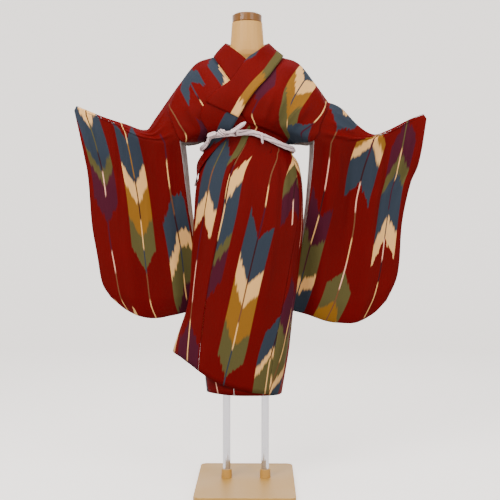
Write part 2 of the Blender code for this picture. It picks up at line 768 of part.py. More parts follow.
def collars_and_fronts():
    """Body cloths, overlaps and collars, each laid over what it covers. Returns their rows of points."""
    inner_body, inner_overlap = body_rows("under"), overlap_rows("under")
    body_clear = BODY_WALL + LAYER_GAP
    collar_clear = (BODY_WALL + COLLAR_WALL) / 2 + LAYER_GAP
    halfway = round(COLLAR_STEPS * NECK_BACK) + 1
    first, last = round(COLLAR_STEPS * OVER_COLLAR_START), round(COLLAR_STEPS * OVER_COLLAR_END)
    collar = collar_rows(COLLAR_STEPS)
    back_half = body_rows("over")[SKIRT_ROWS + BODICE_FRONT_ROWS :]
    inside = [inner_body, inner_overlap, back_half]
    collar = settled(collar, inside, collar_clear, lambda _, row: row < halfway)
    inner_collar = collar[:halfway]
    inner_cover = settled(lifted(collar[first:halfway], collar_clear), [inner_collar], collar_clear)
    covered = [inner_body, inner_overlap, inner_collar, inner_cover]
    outer_body = settled(body_rows("over"), covered, body_clear, lambda point, _: point.y < -0.02)
    outer_overlap = settled(overlap_rows("over"), covered, body_clear)
    crossed = [inner_collar[:CROSSING_ROWS], inner_cover[: CROSSING_ROWS - first]]
    below = [inner_body, inner_overlap, outer_body, outer_overlap] + crossed
    outer_collar = settled(collar[halfway - 1 :], below, collar_clear, lambda _, row: row > 0)
    collar = collar[: halfway - 1] + outer_collar
    cover = lifted(collar[first : last + 1], collar_clear)
    turn = halfway - first
    cover = settled(cover, [outer_collar], collar_clear, lambda _, row: row >= turn)
    cover = inner_cover[: turn - 1] + cover[turn - 1 :]
    sheets = {
        "body_left": outer_body,
        "body_right": inner_body,
        "overlap_left": outer_overlap,
        "overlap_right": inner_overlap,
        "collar": collar,
        "over_collar": cover,
    }
    for name, rows in sheets.items():
        wall(name, outward_mesh(name, rows), COLLAR_WALL if name == "collar" else BODY_WALL, RED)
    return sheets


# Sleeves


def sleeve_point(tables, station, share, back):
    """A point of a sleeve's hanging cloth: station from the inner edge, share down from the hanging line."""
    top, furi, outer, bottom = tables
    ends = {}
    for axis in ("x", "z"):
        line = [look_up(top, SLEEVE_TOP_COLUMNS, "line_" + axis, at) for at in (station, 0.0, 1.0)]
        foot = [look_up(bottom, BOTTOM_COLUMNS, axis, at) for at in (station, 0.0, 1.0)]
        inner = look_up(furi, FURI_COLUMNS, axis, share)
        rim = look_up(outer, OUTER_COLUMNS, axis, share)
        ruled = (1 - share) * line[0] + share * foot[0] + (1 - station) * inner + station * rim
        corners = (1 - station) * (1 - share) * line[1] + station * (1 - share) * line[2]
        corners += (1 - station) * share * foot[1] + station * share * foot[2]
        ends[axis] = ruled - corners
    front_y = look_up(furi, FURI_COLUMNS, "front_y", share)
    back_y = look_up(furi, FURI_COLUMNS, "back_y", share)
    tip_back = look_up(top, SLEEVE_TOP_COLUMNS, "back", 1.0)
    middle = (front_y + back_y) / 2 * (1 - station) + tip_back * station
    half = (back_y - front_y) / 2 * (1 - station) ** 2.4 + BAG_HALF * ramp(station / 0.3)
    half *= min(1.0, math.sqrt(max(1 - share, 0.0) / 0.12))
    if share < CUFF_SHARE:
        open_half = TOP_HALF * (1 - share / CUFF_SHARE) + CUFF_HALF * math.sin(math.pi * share / CUFF_SHARE)
        half += (open_half - half) * ramp((station - 0.4) / 0.6)
    else:
        half *= min(1.0, math.sqrt(max(1 - station, 0.0) / 0.15))
    wave = 0.0
    for station_top, station_low, width, depth in WAVES:
        away = station - (station_top + (station_low - station_top) * share)
        wave += depth * math.exp(-((away / width) ** 2)) * ramp(share * 3) * ramp(station * 8)
    return Vector((ends["x"], middle + wave + (half if back else -half), ends["z"]))


def roll_point(tables, station, share, back):
    """A point of the slack cloth between the hanging line (0) and the top fold (1)."""
    top = tables[0]
    low = sleeve_point(tables, station, 0.0, back)
    high = Vector([look_up(top, SLEEVE_TOP_COLUMNS, name, station) for name in ("top_x", "back", "top_z")])
    size = ROLL_BULGE * ramp((high - low).length / 0.16)
    point = low.lerp(high, share)
    point.y += (size if back else -size) * math.sin(math.pi * share)
    net = BACK_NET if back else FRONT_NET
    underarm = [row[0] for row in net].index("under")
    armhole = net_point(net, underarm * (1 - share), 1.0)
    return armhole.lerp(point, ramp(station / 0.16))


def sleeve_ring(tables, station):
    """All round the sleeve at one station: up the front cloth, over the top fold and down the back cloth."""
    front = [sleeve_point(tables, station, share, False) for share in reversed(SLEEVE_SHARES)]
    rise = [roll_point(tables, station, share, False) for share in ROLL_SHARES]
    fold = roll_point(tables, station, 1.0, False)
    fall = [roll_point(tables, station, share, True) for share in reversed(ROLL_SHARES)]
    back = [sleeve_point(tables, station, share, True) for share in SLEEVE_SHARES]
    return front + rise + [fold] + fall + back


def sleeve_mesh(name, tables, layer):
    rings = [sleeve_ring(tables, station) for station in SLEEVE_STATIONS]
    first, second = rings[0], rings[1]
    rings[0] = [a.lerp(b, gap_share(a, b)) for a, b in zip(first, second)]
    if layer == "under":
        rings = [[mirrored(point) for point in ring] for ring in rings]
    middle = sum((point for ring in rings for point in ring), Vector()) / sum(len(ring) for ring in rings)
    return grid_mesh(name, rings, outward=middle)


def sleeve(side, tables, layer):
    mesh = sleeve_mesh("sleeve_" + side, tables, layer)
    inside = moved_out(mesh, -(SLEEVE_WALL / 2 + LAYER_GAP + LINING_WALL / 2))
    inside.name = "sleeve_lining_" + side
    wall("sleeve_" + side, mesh, SLEEVE_WALL, RED)
    wall("sleeve_lining_" + side, inside, LINING_WALL, LINING)


# The sash


def tree_and_marks(meshes):
    """A search tree over closed pieces, and points all over them."""
    points, faces = [], []
    for mesh in meshes:
        mesh.calc_loop_triangles()
        start = len(points)
        faces += [tuple(start + i for i in triangle.vertices) for triangle in mesh.loop_triangles]
        points += [vertex.co.copy() for vertex in mesh.vertices]
    return BVHTree.FromPolygons(points, faces), [mark for _, mark in samples_of(points, faces)]


def seated(mesh, below, marks, inward, gap):
    """Moves a closed piece inward until it lies this gap from what it rests on."""
    own_tree, own_marks = tree_and_marks([mesh])
    room = [below.ray_cast(mark, inward, SEAT_REACH)[3] for mark in own_marks]
    room += [own_tree.ray_cast(mark, -inward, SEAT_REACH)[3] for mark in marks]
    room = [distance for distance in room if distance is not None]
    if room:
        mesh.transform(Matrix.Translation(inward * (min(room) - gap)))


def sash_section(centre, along, up, tall, deep, turn):
    """A soft oval round the sash's middle line. turn twists the oval."""
    along = along.normalized()
    side = up.cross(along).normalized()
    up = along.cross(side)
    ring = []
    for k in range(BAND_SIDES):
        angle = 2 * math.pi * k / BAND_SIDES
        swell = 1 + BAND_SWELL * math.cos(2 * (angle - turn))
        rise, reach = tall / 2 * math.cos(angle) * swell, deep / 2 * math.sin(angle) * swell
        ring.append(centre + up * rise + side * reach)
    return ring


def band_middle(angle):
    """The middle of the sash at this angle, just clear of the cloth that it ties."""
    height = look_up(BAND, BAND_COLUMNS, "height", math.degrees(angle))
    reach = 0.0
    for turn in (-BAND_LOOK, 0.0, BAND_LOOK):
        out = Vector((math.sin(angle + turn), -math.cos(angle + turn), 0.0))
        for level in spread(height - BAND_TALL / 2, height + BAND_TALL / 2, 4):
            core = Vector((CENTRE_X, 0.0, level))
            near = (skirt_point(level, angle + turn, "over") - core).length
            found = meeting(core + out * near, tied_cloth, 1)
            if found is not None:
                reach = max(reach, near + found[0])
    reach += COLLAR_WALL / 2 + BAND_CLEAR + BAND_DEEP / 2 * (1 + BAND_SWELL)
    out = Vector((math.sin(angle), -math.cos(angle), 0.0))
    return Vector((CENTRE_X, 0.0, height)) + out * reach


def sash_band():
    rings = []
    for k in range(BAND_STEPS):
        angle = -math.pi + 2 * math.pi * k / BAND_STEPS
        step = math.radians(2)
        along = band_middle(min(angle + step, math.pi)) - band_middle(max(angle - step, -math.pi))
        turn = math.pi * BAND_TWISTS * k / BAND_STEPS
        rings.append(sash_section(band_middle(angle), along, Vector((0, 0, 1)), BAND_TALL, BAND_DEEP, turn))
    closed = [ring + [ring[0]] for ring in rings]
    mesh = grid_mesh("belt_band", closed, around=True)
    finish_closed(mesh)
    link("belt_band", mesh, SASH).data.shade_smooth()
    return mesh


def finish_closed(mesh):
    made = bmesh.new()
    made.from_mesh(mesh)
    if made.calc_volume(signed=True) < 0:
        bmesh.ops.reverse_faces(made, faces=made.faces)
    made.to_mesh(mesh)
    made.free()


def capped_loft(name, rings, finish):
    """A closed body through rings of points, with its two ends filled."""
    made = bmesh.new()
    placed = [[made.verts.new(point) for point in ring] for ring in rings]
    for first, second in zip(placed, placed[1:]):
        for j in range(len(first)):
            k = (j + 1) % len(first)
            made.faces.new((first[j], first[k], second[k], second[j]))
    made.faces.new(placed[0])
    made.faces.new(placed[-1])
    bmesh.ops.recalc_face_normals(made, faces=made.faces)
    mesh = bpy.data.meshes.new(name)
    made.to_mesh(mesh)
    made.free()
    thing = link(name, mesh, finish)
    mesh.shade_smooth()
    return thing


def sash_end(name, points, tall, deep, steps):
    """A loose end of the sash along a smooth line, with softly rounded ends."""
    line = [clear_of_cloth(Vector(point), deep / 2 + TAIL_CLEAR) for point in points]
    rings = []
    for share in spread(0.0, 1.0, steps):
        along = spline_point(line, min(share + 0.02, 1.0)) - spline_point(line, max(share - 0.02, 0.0))
        close = math.sqrt(max(1 - abs(2 * share - 1) ** 6, 0.12))
        section = sash_section(spline_point(line, share), along, Vector((0, 0.2, 1)), tall * close, deep * close, share)
        rings.append(section)
    return capped_loft(name, rings, SASH).data


def clear_of_cloth(point, clear):
    """The point, moved out until it is clear of the cloth."""
    found = meeting(point, tied_cloth, 1)
    short = 0.0 if found is None else found[0] + (clear + COLLAR_WALL / 2) / found[1]
    return point + (point - core_of(point)).normalized() * max(short, 0.0)


def sash_knot():
    """The knot, a soft lump in front of the band."""
    angle = math.radians(KNOT_DEGREES)
    middle = band_middle(angle)
    out = Vector((middle.x, middle.y, 0)).normalized()
    near = [band_middle(angle + math.radians(turn)) for turn in spread(-KNOT_REACH, KNOT_REACH, 8)]
    middle += out * max(point.dot(out) - middle.dot(out) for point in near)
    centre = middle + out * (BAND_DEEP / 2 * (1 + BAND_SWELL) + KNOT_CLEAR + KNOT_DEEP / 2)
    centre.z += KNOT_RISE
    bpy.ops.mesh.primitive_uv_sphere_add(segments=14, ring_count=9, radius=0.5)
    knot = bpy.context.object
    knot.name = "belt_knot"
    knot.data.name = "belt_knot"
    knot.scale = (KNOT_WIDE, KNOT_DEEP, KNOT_TALL)
    knot.rotation_euler = (0, 0, math.atan2(out.x, -out.y))
    knot.location = centre
    bpy.ops.object.transform_apply(location=True, rotation=True, scale=True)
    for collection in list(knot.users_collection):
        collection.objects.unlink(knot)
    parts.objects.link(knot)
    knot.data.materials.append(SASH)
    knot.data.shade_smooth()
    return centre, out, knot.data


def outward(angle):
    return Vector((math.sin(angle), -math.cos(angle), 0.0))


def sash():
    """The band, the knot resting on it, and three loose ends that rest on the band or the cloth."""
    band = sash_band()
    cloth = [outward_mesh("rest", rows) for rows in kimono.values()]
    walls = [moved_out(mesh, COLLAR_WALL / 2) for mesh in cloth]
    centre, out, knot = sash_knot()
    below, marks = tree_and_marks([band] + walls)
    seated(knot, below, marks, -out, SEAT_GAP)
    across = Vector((-out.y, out.x, 0))
    wide = KNOT_WIDE / 2 + TAIL_DEEP / 2
    near, far = centre - across * wide, centre + across * wide
    left = [near, near + Vector((-0.016, 0.004, -0.004)), near + Vector((-0.030, 0.010, -0.009))]
    right = [far, far + Vector((0.020, -0.002, 0.012)), far + Vector((0.050, -0.001, 0.034))]
    tuck_out = outward(math.radians(TUCK_DEGREES))
    start = band_middle(math.radians(TUCK_DEGREES)) + tuck_out * KNOT_DEEP + Vector((0.0, 0.0, TUCK_RISE))
    hang = [start, start + Vector((0.001, 0.001, -0.014)), start + Vector((0.003, 0.003, -0.030))]
    ends = (("belt_tail_right", left, TAIL_TALL, out), ("belt_tail_left", right, TAIL_TALL, out))
    for name, points, tall, facing in ends + (("belt_tuck", hang, TAIL_TALL * 0.8, tuck_out),):
        seated(sash_end(name, points, tall, TAIL_DEEP, 8), below, marks, -facing, SEAT_GAP)


# The dress form


def form_ring(height):
    ring = []
    for k in range(FORM_SIDES):
        angle = 2 * math.pi * k / FORM_SIDES
        depth = look_up(FORM, FORM_COLUMNS, "front" if math.cos(angle) > 0 else "back", height)
        wide = look_up(FORM, FORM_COLUMNS, "half_width", height)
        middle = look_up(FORM, FORM_COLUMNS, "middle", height)
        ring.append(Vector((middle + wide * math.sin(angle), -depth * math.cos(angle), height)))
    return ring


def torso(sheets):
    """The smooth limbless form, drawn in wherever the cloth needs the room."""
    rings = [form_ring(row[0]) for row in FORM]
    closed = [ring + [ring[0]] for ring in rings]
    clear = COLLAR_WALL / 2 + FORM_CLEAR
    closed = settled(closed, sheets.values(), clear, side=-1)
    rings = [ring[:-1] for ring in closed]
    for name, side in (("body_left", 1), ("body_right", -1)):
        rest_on_shoulder(points_of(rings), tree_of([sheets[name]]), side)
    capped_loft("form_torso", rings, FORM_CLOTH)


def rest_on_shoulder(points, cloth, side):
    """Moves the form's nearest shoulder point out until the cloth rests on it."""
    found = []
    for point in points:
        if point.z > SHOULDER_FOOT and side * (point.x - CENTRE_X) > SHOULDER_INNER:
            met = meeting(point, cloth, -1)
            if met is not None:
                found.append((met[0] * met[1], met[1], point))
    room, slope, point = min(found, key=lambda item: item[0])
    point += (point - core_of(point)).normalized() * (room - BODY_WALL / 2 - SEAT_GAP) / slope


def turned(name, profile, place, finish, steps=28):
    """A round piece turned about its upright axis. The profile runs down its outer side."""
    mesh = bpy.data.meshes.new(name)
    edges = [(i, i + 1) for i in range(len(profile) - 1)]
    if profile[0] == profile[-1]:
        profile = profile[:-1]
        edges[-1] = (len(profile) - 1, 0)
    mesh.from_pydata([(r, 0, z) for r, z in profile], edges, [])
    thing = link(name, mesh, finish)
    thing.location = place
    screw = thing.modifiers.new("turn", "SCREW")
    screw.steps = steps
    screw.render_steps = steps
    screw.use_merge_vertices = True
    screw.merge_threshold = 0.00001
    screw.use_smooth_shade = True
    return thing


def cap():
    base = FORM[-1][0] + 0.0003
    radius = CAP_RADIUS
    profile = (
        (0.0, CAP_TOP),
        (radius * 0.55, CAP_TOP - 0.0012),
        (radius * 0.88, CAP_TOP - 0.0040),
        (radius, CAP_TOP - 0.0085),
        (radius, base + 0.002),
        (radius - 0.002, base),
        (0.0, base),
    )
    turned("form_cap", profile, (CENTRE_X, 0, 0), CAP_WOOD)


def pole(side, x):
    foot = BASE_THICK + 0.0003
    top = FORM[0][0] - 0.0003
    bpy.ops.mesh.primitive_cylinder_add(vertices=24, radius=POLE_RADIUS, depth=top - foot)
    made = bpy.context.object
    made.name = "pole_" + side
    made.data.name = made.name
    made.location = (x, 0, (top + foot) / 2)
    for collection in list(made.users_collection):
        collection.objects.unlink(made)
    parts.objects.link(made)
    made.data.materials.append(CHROME)
    made.data.shade_smooth()
    made.data.set_sharp_from_angle(angle=math.radians(40))
    inner = POLE_RADIUS + 0.0004
    profile = (
        (inner, foot + SOCKET_HEIGHT),
        (SOCKET_RADIUS + 0.0010, foot + SOCKET_HEIGHT),
        (SOCKET_RADIUS + 0.0022, foot + SOCKET_HEIGHT - 0.0015),
        (SOCKET_RADIUS + 0.0030, foot),
        (inner, foot),
        (inner, foot + SOCKET_HEIGHT),
    )
    turned("socket_" + side, profile, (x, 0, 0), BASE_PAINT, 24)


def base_plate():
    bpy.ops.mesh.primitive_cube_add(size=1.0)
    made = bpy.context.object
    made.name = "base_plate"
    made.data.name = "base_plate"
    depth = BASE_BACK - BASE_FRONT
    made.scale = (BASE_WIDTH, depth, BASE_THICK)
    made.location = (0, (BASE_BACK + BASE_FRONT) / 2, BASE_THICK / 2)
    bpy.ops.object.transform_apply(location=True, rotation=True, scale=True)
    for collection in list(made.users_collection):
        collection.objects.unlink(made)
    parts.objects.link(made)
    made.data.materials.append(BASE_PAINT)
    shape = bmesh.new()
    shape.from_mesh(made.data)
    upright = [e for e in shape.edges if abs(e.verts[0].co.z - e.verts[1].co.z) > BASE_THICK / 2]
    bmesh.ops.bevel(shape, geom=upright, offset=BASE_CORNER, segments=5, profile=0.5, affect="EDGES")
    rim = [e for e in shape.edges if min(v.co.z for v in e.verts) > BASE_THICK - 1e-5]
    bmesh.ops.bevel(shape, geom=rim, offset=0.002, segments=2, profile=0.5, affect="EDGES")
    shape.to_mesh(made.data)
    shape.free()
    made.data.shade_smooth()
    made.data.set_sharp_from_angle(angle=math.radians(40))


def start_scene():
    for thing in list(bpy.data.objects):
        bpy.data.objects.remove(thing)
    made = bpy.data.collections.new("kofurisode_kimono_on_dress_form")
    bpy.context.scene.collection.children.link(made)
    return made


parts = start_scene()
RED = material("red_crepe", (0.22, 0.003, 0.006), 0.62)
LINING = material("white_lining", (0.84, 0.80, 0.79), 0.6)
SASH = material("white_sash", (0.86, 0.83, 0.83), 0.75)
FORM_CLOTH = material("form_beige", (0.67, 0.46, 0.33), 0.55)
CAP_WOOD = material("cap_wood", (0.42, 0.17, 0.02), 0.25)
CHROME = material("pole_chrome", (0.80, 0.80, 0.82), 0.12, 1.0)
BASE_PAINT = material("base_cream", (0.75, 0.58, 0.40), 0.4)

kimono = collars_and_fronts()
tied_cloth = tree_of(kimono.values())
sleeve("left", (SLEEVE_TOP_LEFT, FURI_LEFT, OUTER_LEFT, BOTTOM_LEFT), "over")
sleeve("right", (SLEEVE_TOP_RIGHT, FURI_RIGHT, OUTER_RIGHT, BOTTOM_RIGHT), "under")
sash()
torso(kimono)
cap()
pole("left", POLE_X)
pole("right", -POLE_X)
base_plate()
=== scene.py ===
# %% [markdown]
# # Long-sleeved red kimono on a dress form
# The kimono is cut from straight widths of silk crepe: two body cloths that run from the front hem over the
# shoulders to the back hem, two narrow front overlaps, a long collar with a second one over its middle, and
# two bag sleeves. A white twisted sash ties it. It is dressed on a smooth limbless form, which the cloth
# rests on. This script gives the solids their looks. First the frame is loaded.

# %% The frame
import math

import bmesh
import bpy
import numpy as np
from mathutils import Matrix, Vector
from mathutils.bvhtree import BVHTree
from mathutils.kdtree import KDTree


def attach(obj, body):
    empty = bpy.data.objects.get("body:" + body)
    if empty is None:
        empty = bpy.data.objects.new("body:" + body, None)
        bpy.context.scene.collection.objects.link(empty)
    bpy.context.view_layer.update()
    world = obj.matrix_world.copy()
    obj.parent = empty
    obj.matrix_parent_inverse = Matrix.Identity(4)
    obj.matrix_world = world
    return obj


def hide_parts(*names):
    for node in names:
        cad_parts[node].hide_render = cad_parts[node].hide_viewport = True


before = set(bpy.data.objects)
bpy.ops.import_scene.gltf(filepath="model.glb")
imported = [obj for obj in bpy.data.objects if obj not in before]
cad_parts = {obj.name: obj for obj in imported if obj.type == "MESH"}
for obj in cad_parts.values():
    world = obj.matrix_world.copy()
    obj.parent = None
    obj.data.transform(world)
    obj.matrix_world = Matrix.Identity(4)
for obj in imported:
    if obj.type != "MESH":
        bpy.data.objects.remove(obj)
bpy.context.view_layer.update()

# %% [markdown]
# The real garment is made to the maker's sizes, so every size is a named number or a short table here: the
# level sections of the worn skirt, where its seams run, the hems, the bodice, the collar, the sleeves and
# the sash. A finished garment could also be scanned, but tables of a few measured places give clean, even
# cloth.

# %% Sizes of the cloth
# Walls and clearances
BODY_WALL = 0.0015
COLLAR_WALL = 0.0020
SLEEVE_WALL = 0.0013
LINING_WALL = 0.0010
SEAM_GAP = 0.0008
LAYER_GAP = 0.0005
SETTLE_MARGIN = 0.0014
SETTLE_REACH = 0.030
SETTLE_PASSES = 5
FLATTEST = 0.35
EVEN_REACH = 2
CORE_TOP = 1.330
LAYER = 0.0040
BODICE_OVER, BODICE_UNDER = 0.0030, 0.0050
UNDER_INSET = 0.0060

# The kimono's middle lies a little to the wearer's left of the form's
CENTRE_X = 0.0045
RING_POWER = 2.15
SEAM_RAMP = 0.55

# Level sections of the worn skirt: how far each side reaches from the origin's axis
SKIRT_COLUMNS = ("height", "left", "right", "over_left", "front", "back")
SKIRT = (
    (1.225, 0.1400, 0.1460, 0.1450, 0.1060, 0.0940),
    (1.190, 0.1370, 0.1430, 0.1420, 0.1010, 0.0900),
    (1.165, 0.1360, 0.1420, 0.1410, 0.0900, 0.0850),
    (1.105, 0.1370, 0.1430, 0.1420, 0.0905, 0.0855),
    (1.060, 0.1500, 0.1720, 0.1560, 0.0970, 0.0980),
    (0.993, 0.1570, 0.1840, 0.1630, 0.1040, 0.1120),
    (0.924, 0.1620, 0.1870, 0.1680, 0.1070, 0.1180),
    (0.842, 0.1660, 0.1860, 0.1730, 0.1060, 0.1160),
    (0.759, 0.1690, 0.1780, 0.1780, 0.1030, 0.1100),
    (0.640, 0.1690, 0.1680, 0.1850, 0.0980, 0.1000),
    (0.581, 0.1650, 0.1580, 0.1950, 0.0950, 0.0950),
    (0.495, 0.1540, 0.1490, 0.2240, 0.0920, 0.0900),
    (0.436, 0.1440, 0.1420, 0.2420, 0.0900, 0.0870),
    (0.290, 0.1270, 0.1170, 0.2620, 0.0860, 0.0820),
)

# Where the seams of the fronts run on the skirt, as the distance to the wearer's left of the middle
SEAM_COLUMNS = ("height", "over_seam", "over_side", "under_seam", "under_side")
SEAMS = (
    (1.240, 0.0040, 0.1480, 0.0000, -0.1400),
    (1.150, 0.0140, 0.1400, 0.0000, -0.1340),
    (1.028, -0.0465, 0.1640, 0.0250, -0.1350),
    (0.890, -0.0755, 0.1680, 0.0500, -0.1300),
    (0.759, -0.1010, 0.1460, 0.0600, -0.1180),
    (0.618, -0.1268, 0.1220, 0.0600, -0.1020),
    (0.495, -0.1430, 0.1000, 0.0600, -0.0880),
    (0.386, -0.1530, 0.0840, 0.0600, -0.0780),
    (0.290, -0.1560, 0.0724, 0.0600, -0.0720),
)
UNDER_FREE_DEGREES = 58
OVER_FREE_DEGREES = -90

# The hems: height by how far round the panel is, -90 degrees being the wearer's right
HEM_COLUMNS = ("degrees", "over", "plain")
HEMS = (
    (-95, 0.443, 0.306),
    (-62, 0.428, 0.308),
    (-45, 0.404, 0.308),
    (-33, 0.378, 0.307),
    (-20, 0.349, 0.306),
    (0, 0.322, 0.305),
    (20, 0.313, 0.304),
    (40, 0.308, 0.303),
    (90, 0.300, 0.300),
    (180, 0.298, 0.298),
)

# Soft folds that run down the skirt: degrees at the top and at the foot, top and bottom heights,
# width in degrees, and depth
DRAPES = (
    (62, 48, 1.080, 0.420, 9.0, 0.0055),
    (86, 78, 1.070, 0.300, 8.0, -0.0050),
    (24, 10, 1.060, 0.560, 10.0, 0.0030),
    (-24, -34, 1.040, 0.480, 9.0, -0.0030),
    (118, 112, 1.080, 0.320, 10.0, 0.0060),
    (148, 150, 1.060, 0.340, 9.0, -0.0045),
    (-150, -152, 1.080, 0.320, 10.0, 0.0055),
    (-122, -118, 1.070, 0.340, 9.0, -0.0045),
)

# How far a fold runs on below its bottom height, and how soon it starts below its top
DRAPE_TAIL, DRAPE_START = 0.08, 4

# The bodice on the outer front's side: rows go down from the shoulder, places go out from the collar seam
RIDGE = (
    "ridge",
    (0.1125, 0.002, 1.4070), (0.1720, 0.004, 1.3860), (0.2246, 0.008, 1.3235), (0.2720, 0.012, 1.2590),
)
FRONT_NET = (
    RIDGE,
    ("chest",
     (0.0830, -0.050, 1.3650), (0.1450, -0.058, 1.3460), (0.2040, -0.045, 1.2880), (0.2640, -0.026, 1.2320)),
    ("bust",
     (0.0290, -0.096, 1.2890), (0.0980, -0.113, 1.2700), (0.1680, -0.094, 1.2300), (0.2460, -0.060, 1.1840)),
    ("under",
     (-0.0120, -0.108, 1.2220), (0.0760, -0.114, 1.1980), (0.1440, -0.092, 1.1680), (0.2200, -0.072, 1.1280)),
    ("gather",
     (0.0040, -0.1015, 1.1840), (0.0620, -0.101, 1.1660), (0.1250, -0.074, 1.1480), (0.1780, -0.044, 1.1240)),
)
BACK_NET = (
    RIDGE,
    ("neck",
     (0.0850, 0.0440, 1.4050), (0.1480, 0.0400, 1.3790), (0.2120, 0.0340, 1.3080), (0.2690, 0.030, 1.2440)),
    ("nape",
     (0.0045, 0.0880, 1.3880), (0.1000, 0.0780, 1.3560), (0.1900, 0.0640, 1.2880), (0.2640, 0.046, 1.2240)),
    ("blade",
     (0.0045, 0.102, 1.3000), (0.0950, 0.105, 1.2800), (0.1720, 0.088, 1.2380), (0.2460, 0.072, 1.1840)),
    ("under",
     (0.0045, 0.098, 1.2200), (0.0850, 0.102, 1.2080), (0.1550, 0.092, 1.1760), (0.2200, 0.084, 1.1280)),
    ("gather",
     (0.0045, 0.088, 1.1780), (0.0780, 0.088, 1.1700), (0.1300, 0.066, 1.1500), (0.1780, 0.052, 1.1240)),
)

# The collar from the back of the neck to the outer front's end: the sewn edge and the free edge
COLLAR_NECK = (
    ((0.0000, 0.0860, 1.3930), (0.0000, 0.0800, 1.4480)),
    ((0.0400, 0.0740, 1.3990), (0.0360, 0.0690, 1.4520)),
    ((0.0820, 0.0420, 1.4080), (0.0600, 0.0390, 1.4520)),
    ((0.1075, 0.0040, 1.4110), (0.0725, 0.0040, 1.4490)),
)
COLLAR_FRONT = (
    ((0.0800, -0.0540, 1.3660), (0.0470, -0.0470, 1.4230)),
    ((0.0500, -0.0800, 1.3230), (0.0080, -0.0650, 1.3880)),
    ((0.0250, -0.0990, 1.2860), (-0.0270, -0.0880, 1.3380)),
    ((-0.0010, -0.1090, 1.2440), (-0.0620, -0.0990, 1.2960)),
    ((-0.0220, -0.1070, 1.2040), (-0.0960, -0.0940, 1.2500)),
    ((-0.0420, -0.0980, 1.1640), (-0.1230, -0.0930, 1.2030)),
    ((-0.0620, -0.0900, 1.1340), (-0.1120, -0.0900, 1.1560)),
)
# Below that the collar lies on the skirt: the sewn edge's height and distance from the middle, then the free
# edge's height and degrees
COLLAR_LOW = (
    (1.104, -0.0900, 1.108, -56.0),
    (1.054, -0.1300, 1.056, -92.0),
    (0.984, -0.1600, 0.984, -106.0),
)
# The outer collar's sewn edge by height, from the point where the overlap starts down to its foot
SEWN_COLUMNS = ("height", "x", "y")
SEWN_EDGE = (
    (1.222, -0.0140, -0.1080),
    (1.204, -0.0220, -0.1070),
    (1.164, -0.0420, -0.0980),
    (1.104, -0.0900, -0.0800),
    (1.054, -0.1300, -0.0600),
    (0.984, -0.1600, -0.0300),
)
SEWN_END, FREE_START = 0.984, 0.930
COLLAR_CROWN = 0.002
OVER_COLLAR_START, OVER_COLLAR_END = 0.10, 0.765
# How far the collar laps over the body's edge, as a share of its width, by share along it
LAP_COLUMNS = ("along", "lap")
LAPS = ((0.00, -0.07), (0.26, -0.09), (0.34, -0.17), (0.54, -0.17), (0.62, -0.09), (1.00, -0.07))

# Sleeves, by station from the armhole (0) to the tip (1): the top fold and the line the sleeve hangs from
SLEEVE_TOP_COLUMNS = ("station", "top_x", "top_z", "line_x", "line_z", "back")
SLEEVE_TOP_LEFT = (
    (0.00, 0.2720, 1.2590, 0.2200, 1.1280, 0.012),
    (0.12, 0.3100, 1.2450, 0.2620, 1.1215, 0.014),
    (0.31, 0.3710, 1.1840, 0.3280, 1.1225, 0.018),
    (0.47, 0.4220, 1.1560, 0.3980, 1.1340, 0.026),
    (0.62, 0.4700, 1.1700, 0.4620, 1.1530, 0.036),
    (0.85, 0.5430, 1.2070, 0.5410, 1.1920, 0.048),
    (1.00, 0.5930, 1.2270, 0.6030, 1.2110, 0.060),
)
SLEEVE_TOP_RIGHT = (
    (0.00, 0.2720, 1.2590, 0.2200, 1.1280, 0.012),
    (0.13, 0.3110, 1.2040, 0.2620, 1.1225, 0.014),
    (0.22, 0.3380, 1.1710, 0.2960, 1.1250, 0.018),
    (0.45, 0.4100, 1.1915, 0.3880, 1.1500, 0.030),
    (0.70, 0.4850, 1.2165, 0.4740, 1.1990, 0.042),
    (0.85, 0.5330, 1.2360, 0.5310, 1.2210, 0.052),
    (1.00, 0.5790, 1.2560, 0.5860, 1.2400, 0.060),
)
# The open inner edge: share of the way down, place, and the front and back cloth's distance behind the middle
FURI_COLUMNS = ("share", "x", "z", "front_y", "back_y")
FURI_LEFT = (
    (0.00, 0.2200, 1.1280, -0.072, 0.084),
    (0.12, 0.2180, 1.0700, -0.046, 0.088),
    (0.40, 0.2040, 0.9040, 0.014, 0.092),
    (0.60, 0.1860, 0.7900, 0.046, 0.094),
    (0.80, 0.1680, 0.6700, 0.058, 0.092),
    (1.00, 0.1480, 0.5680, 0.062, 0.094),
)
FURI_RIGHT = (
    (0.00, 0.2200, 1.1280, -0.072, 0.084),
    (0.12, 0.2140, 1.0700, -0.046, 0.088),
    (0.40, 0.1980, 0.9000, 0.014, 0.092),
    (0.60, 0.1830, 0.7900, 0.048, 0.096),
    (0.80, 0.1680, 0.6700, 0.064, 0.098),
    (1.00, 0.1510, 0.5720, 0.070, 0.102),
)
# The outer edge from the tip to the middle of the rounded corner
OUTER_COLUMNS = ("share", "x", "z")
OUTER_LEFT = (
    (0.00, 0.6030, 1.2110),
    (0.24, 0.5760, 1.0600),
    (0.35, 0.5510, 0.9960),
    (0.56, 0.5240, 0.8680),
    (0.80, 0.5140, 0.7230),
    (0.89, 0.5030, 0.6680),
    (1.00, 0.4720, 0.6020),
)
OUTER_RIGHT = (
    (0.00, 0.5860, 1.2400),
    (0.15, 0.5650, 1.1510),
    (0.35, 0.5420, 1.0230),
    (0.60, 0.5290, 0.8580),
    (0.78, 0.5110, 0.7500),
    (0.90, 0.4950, 0.6600),
    (1.00, 0.4680, 0.6140),
)
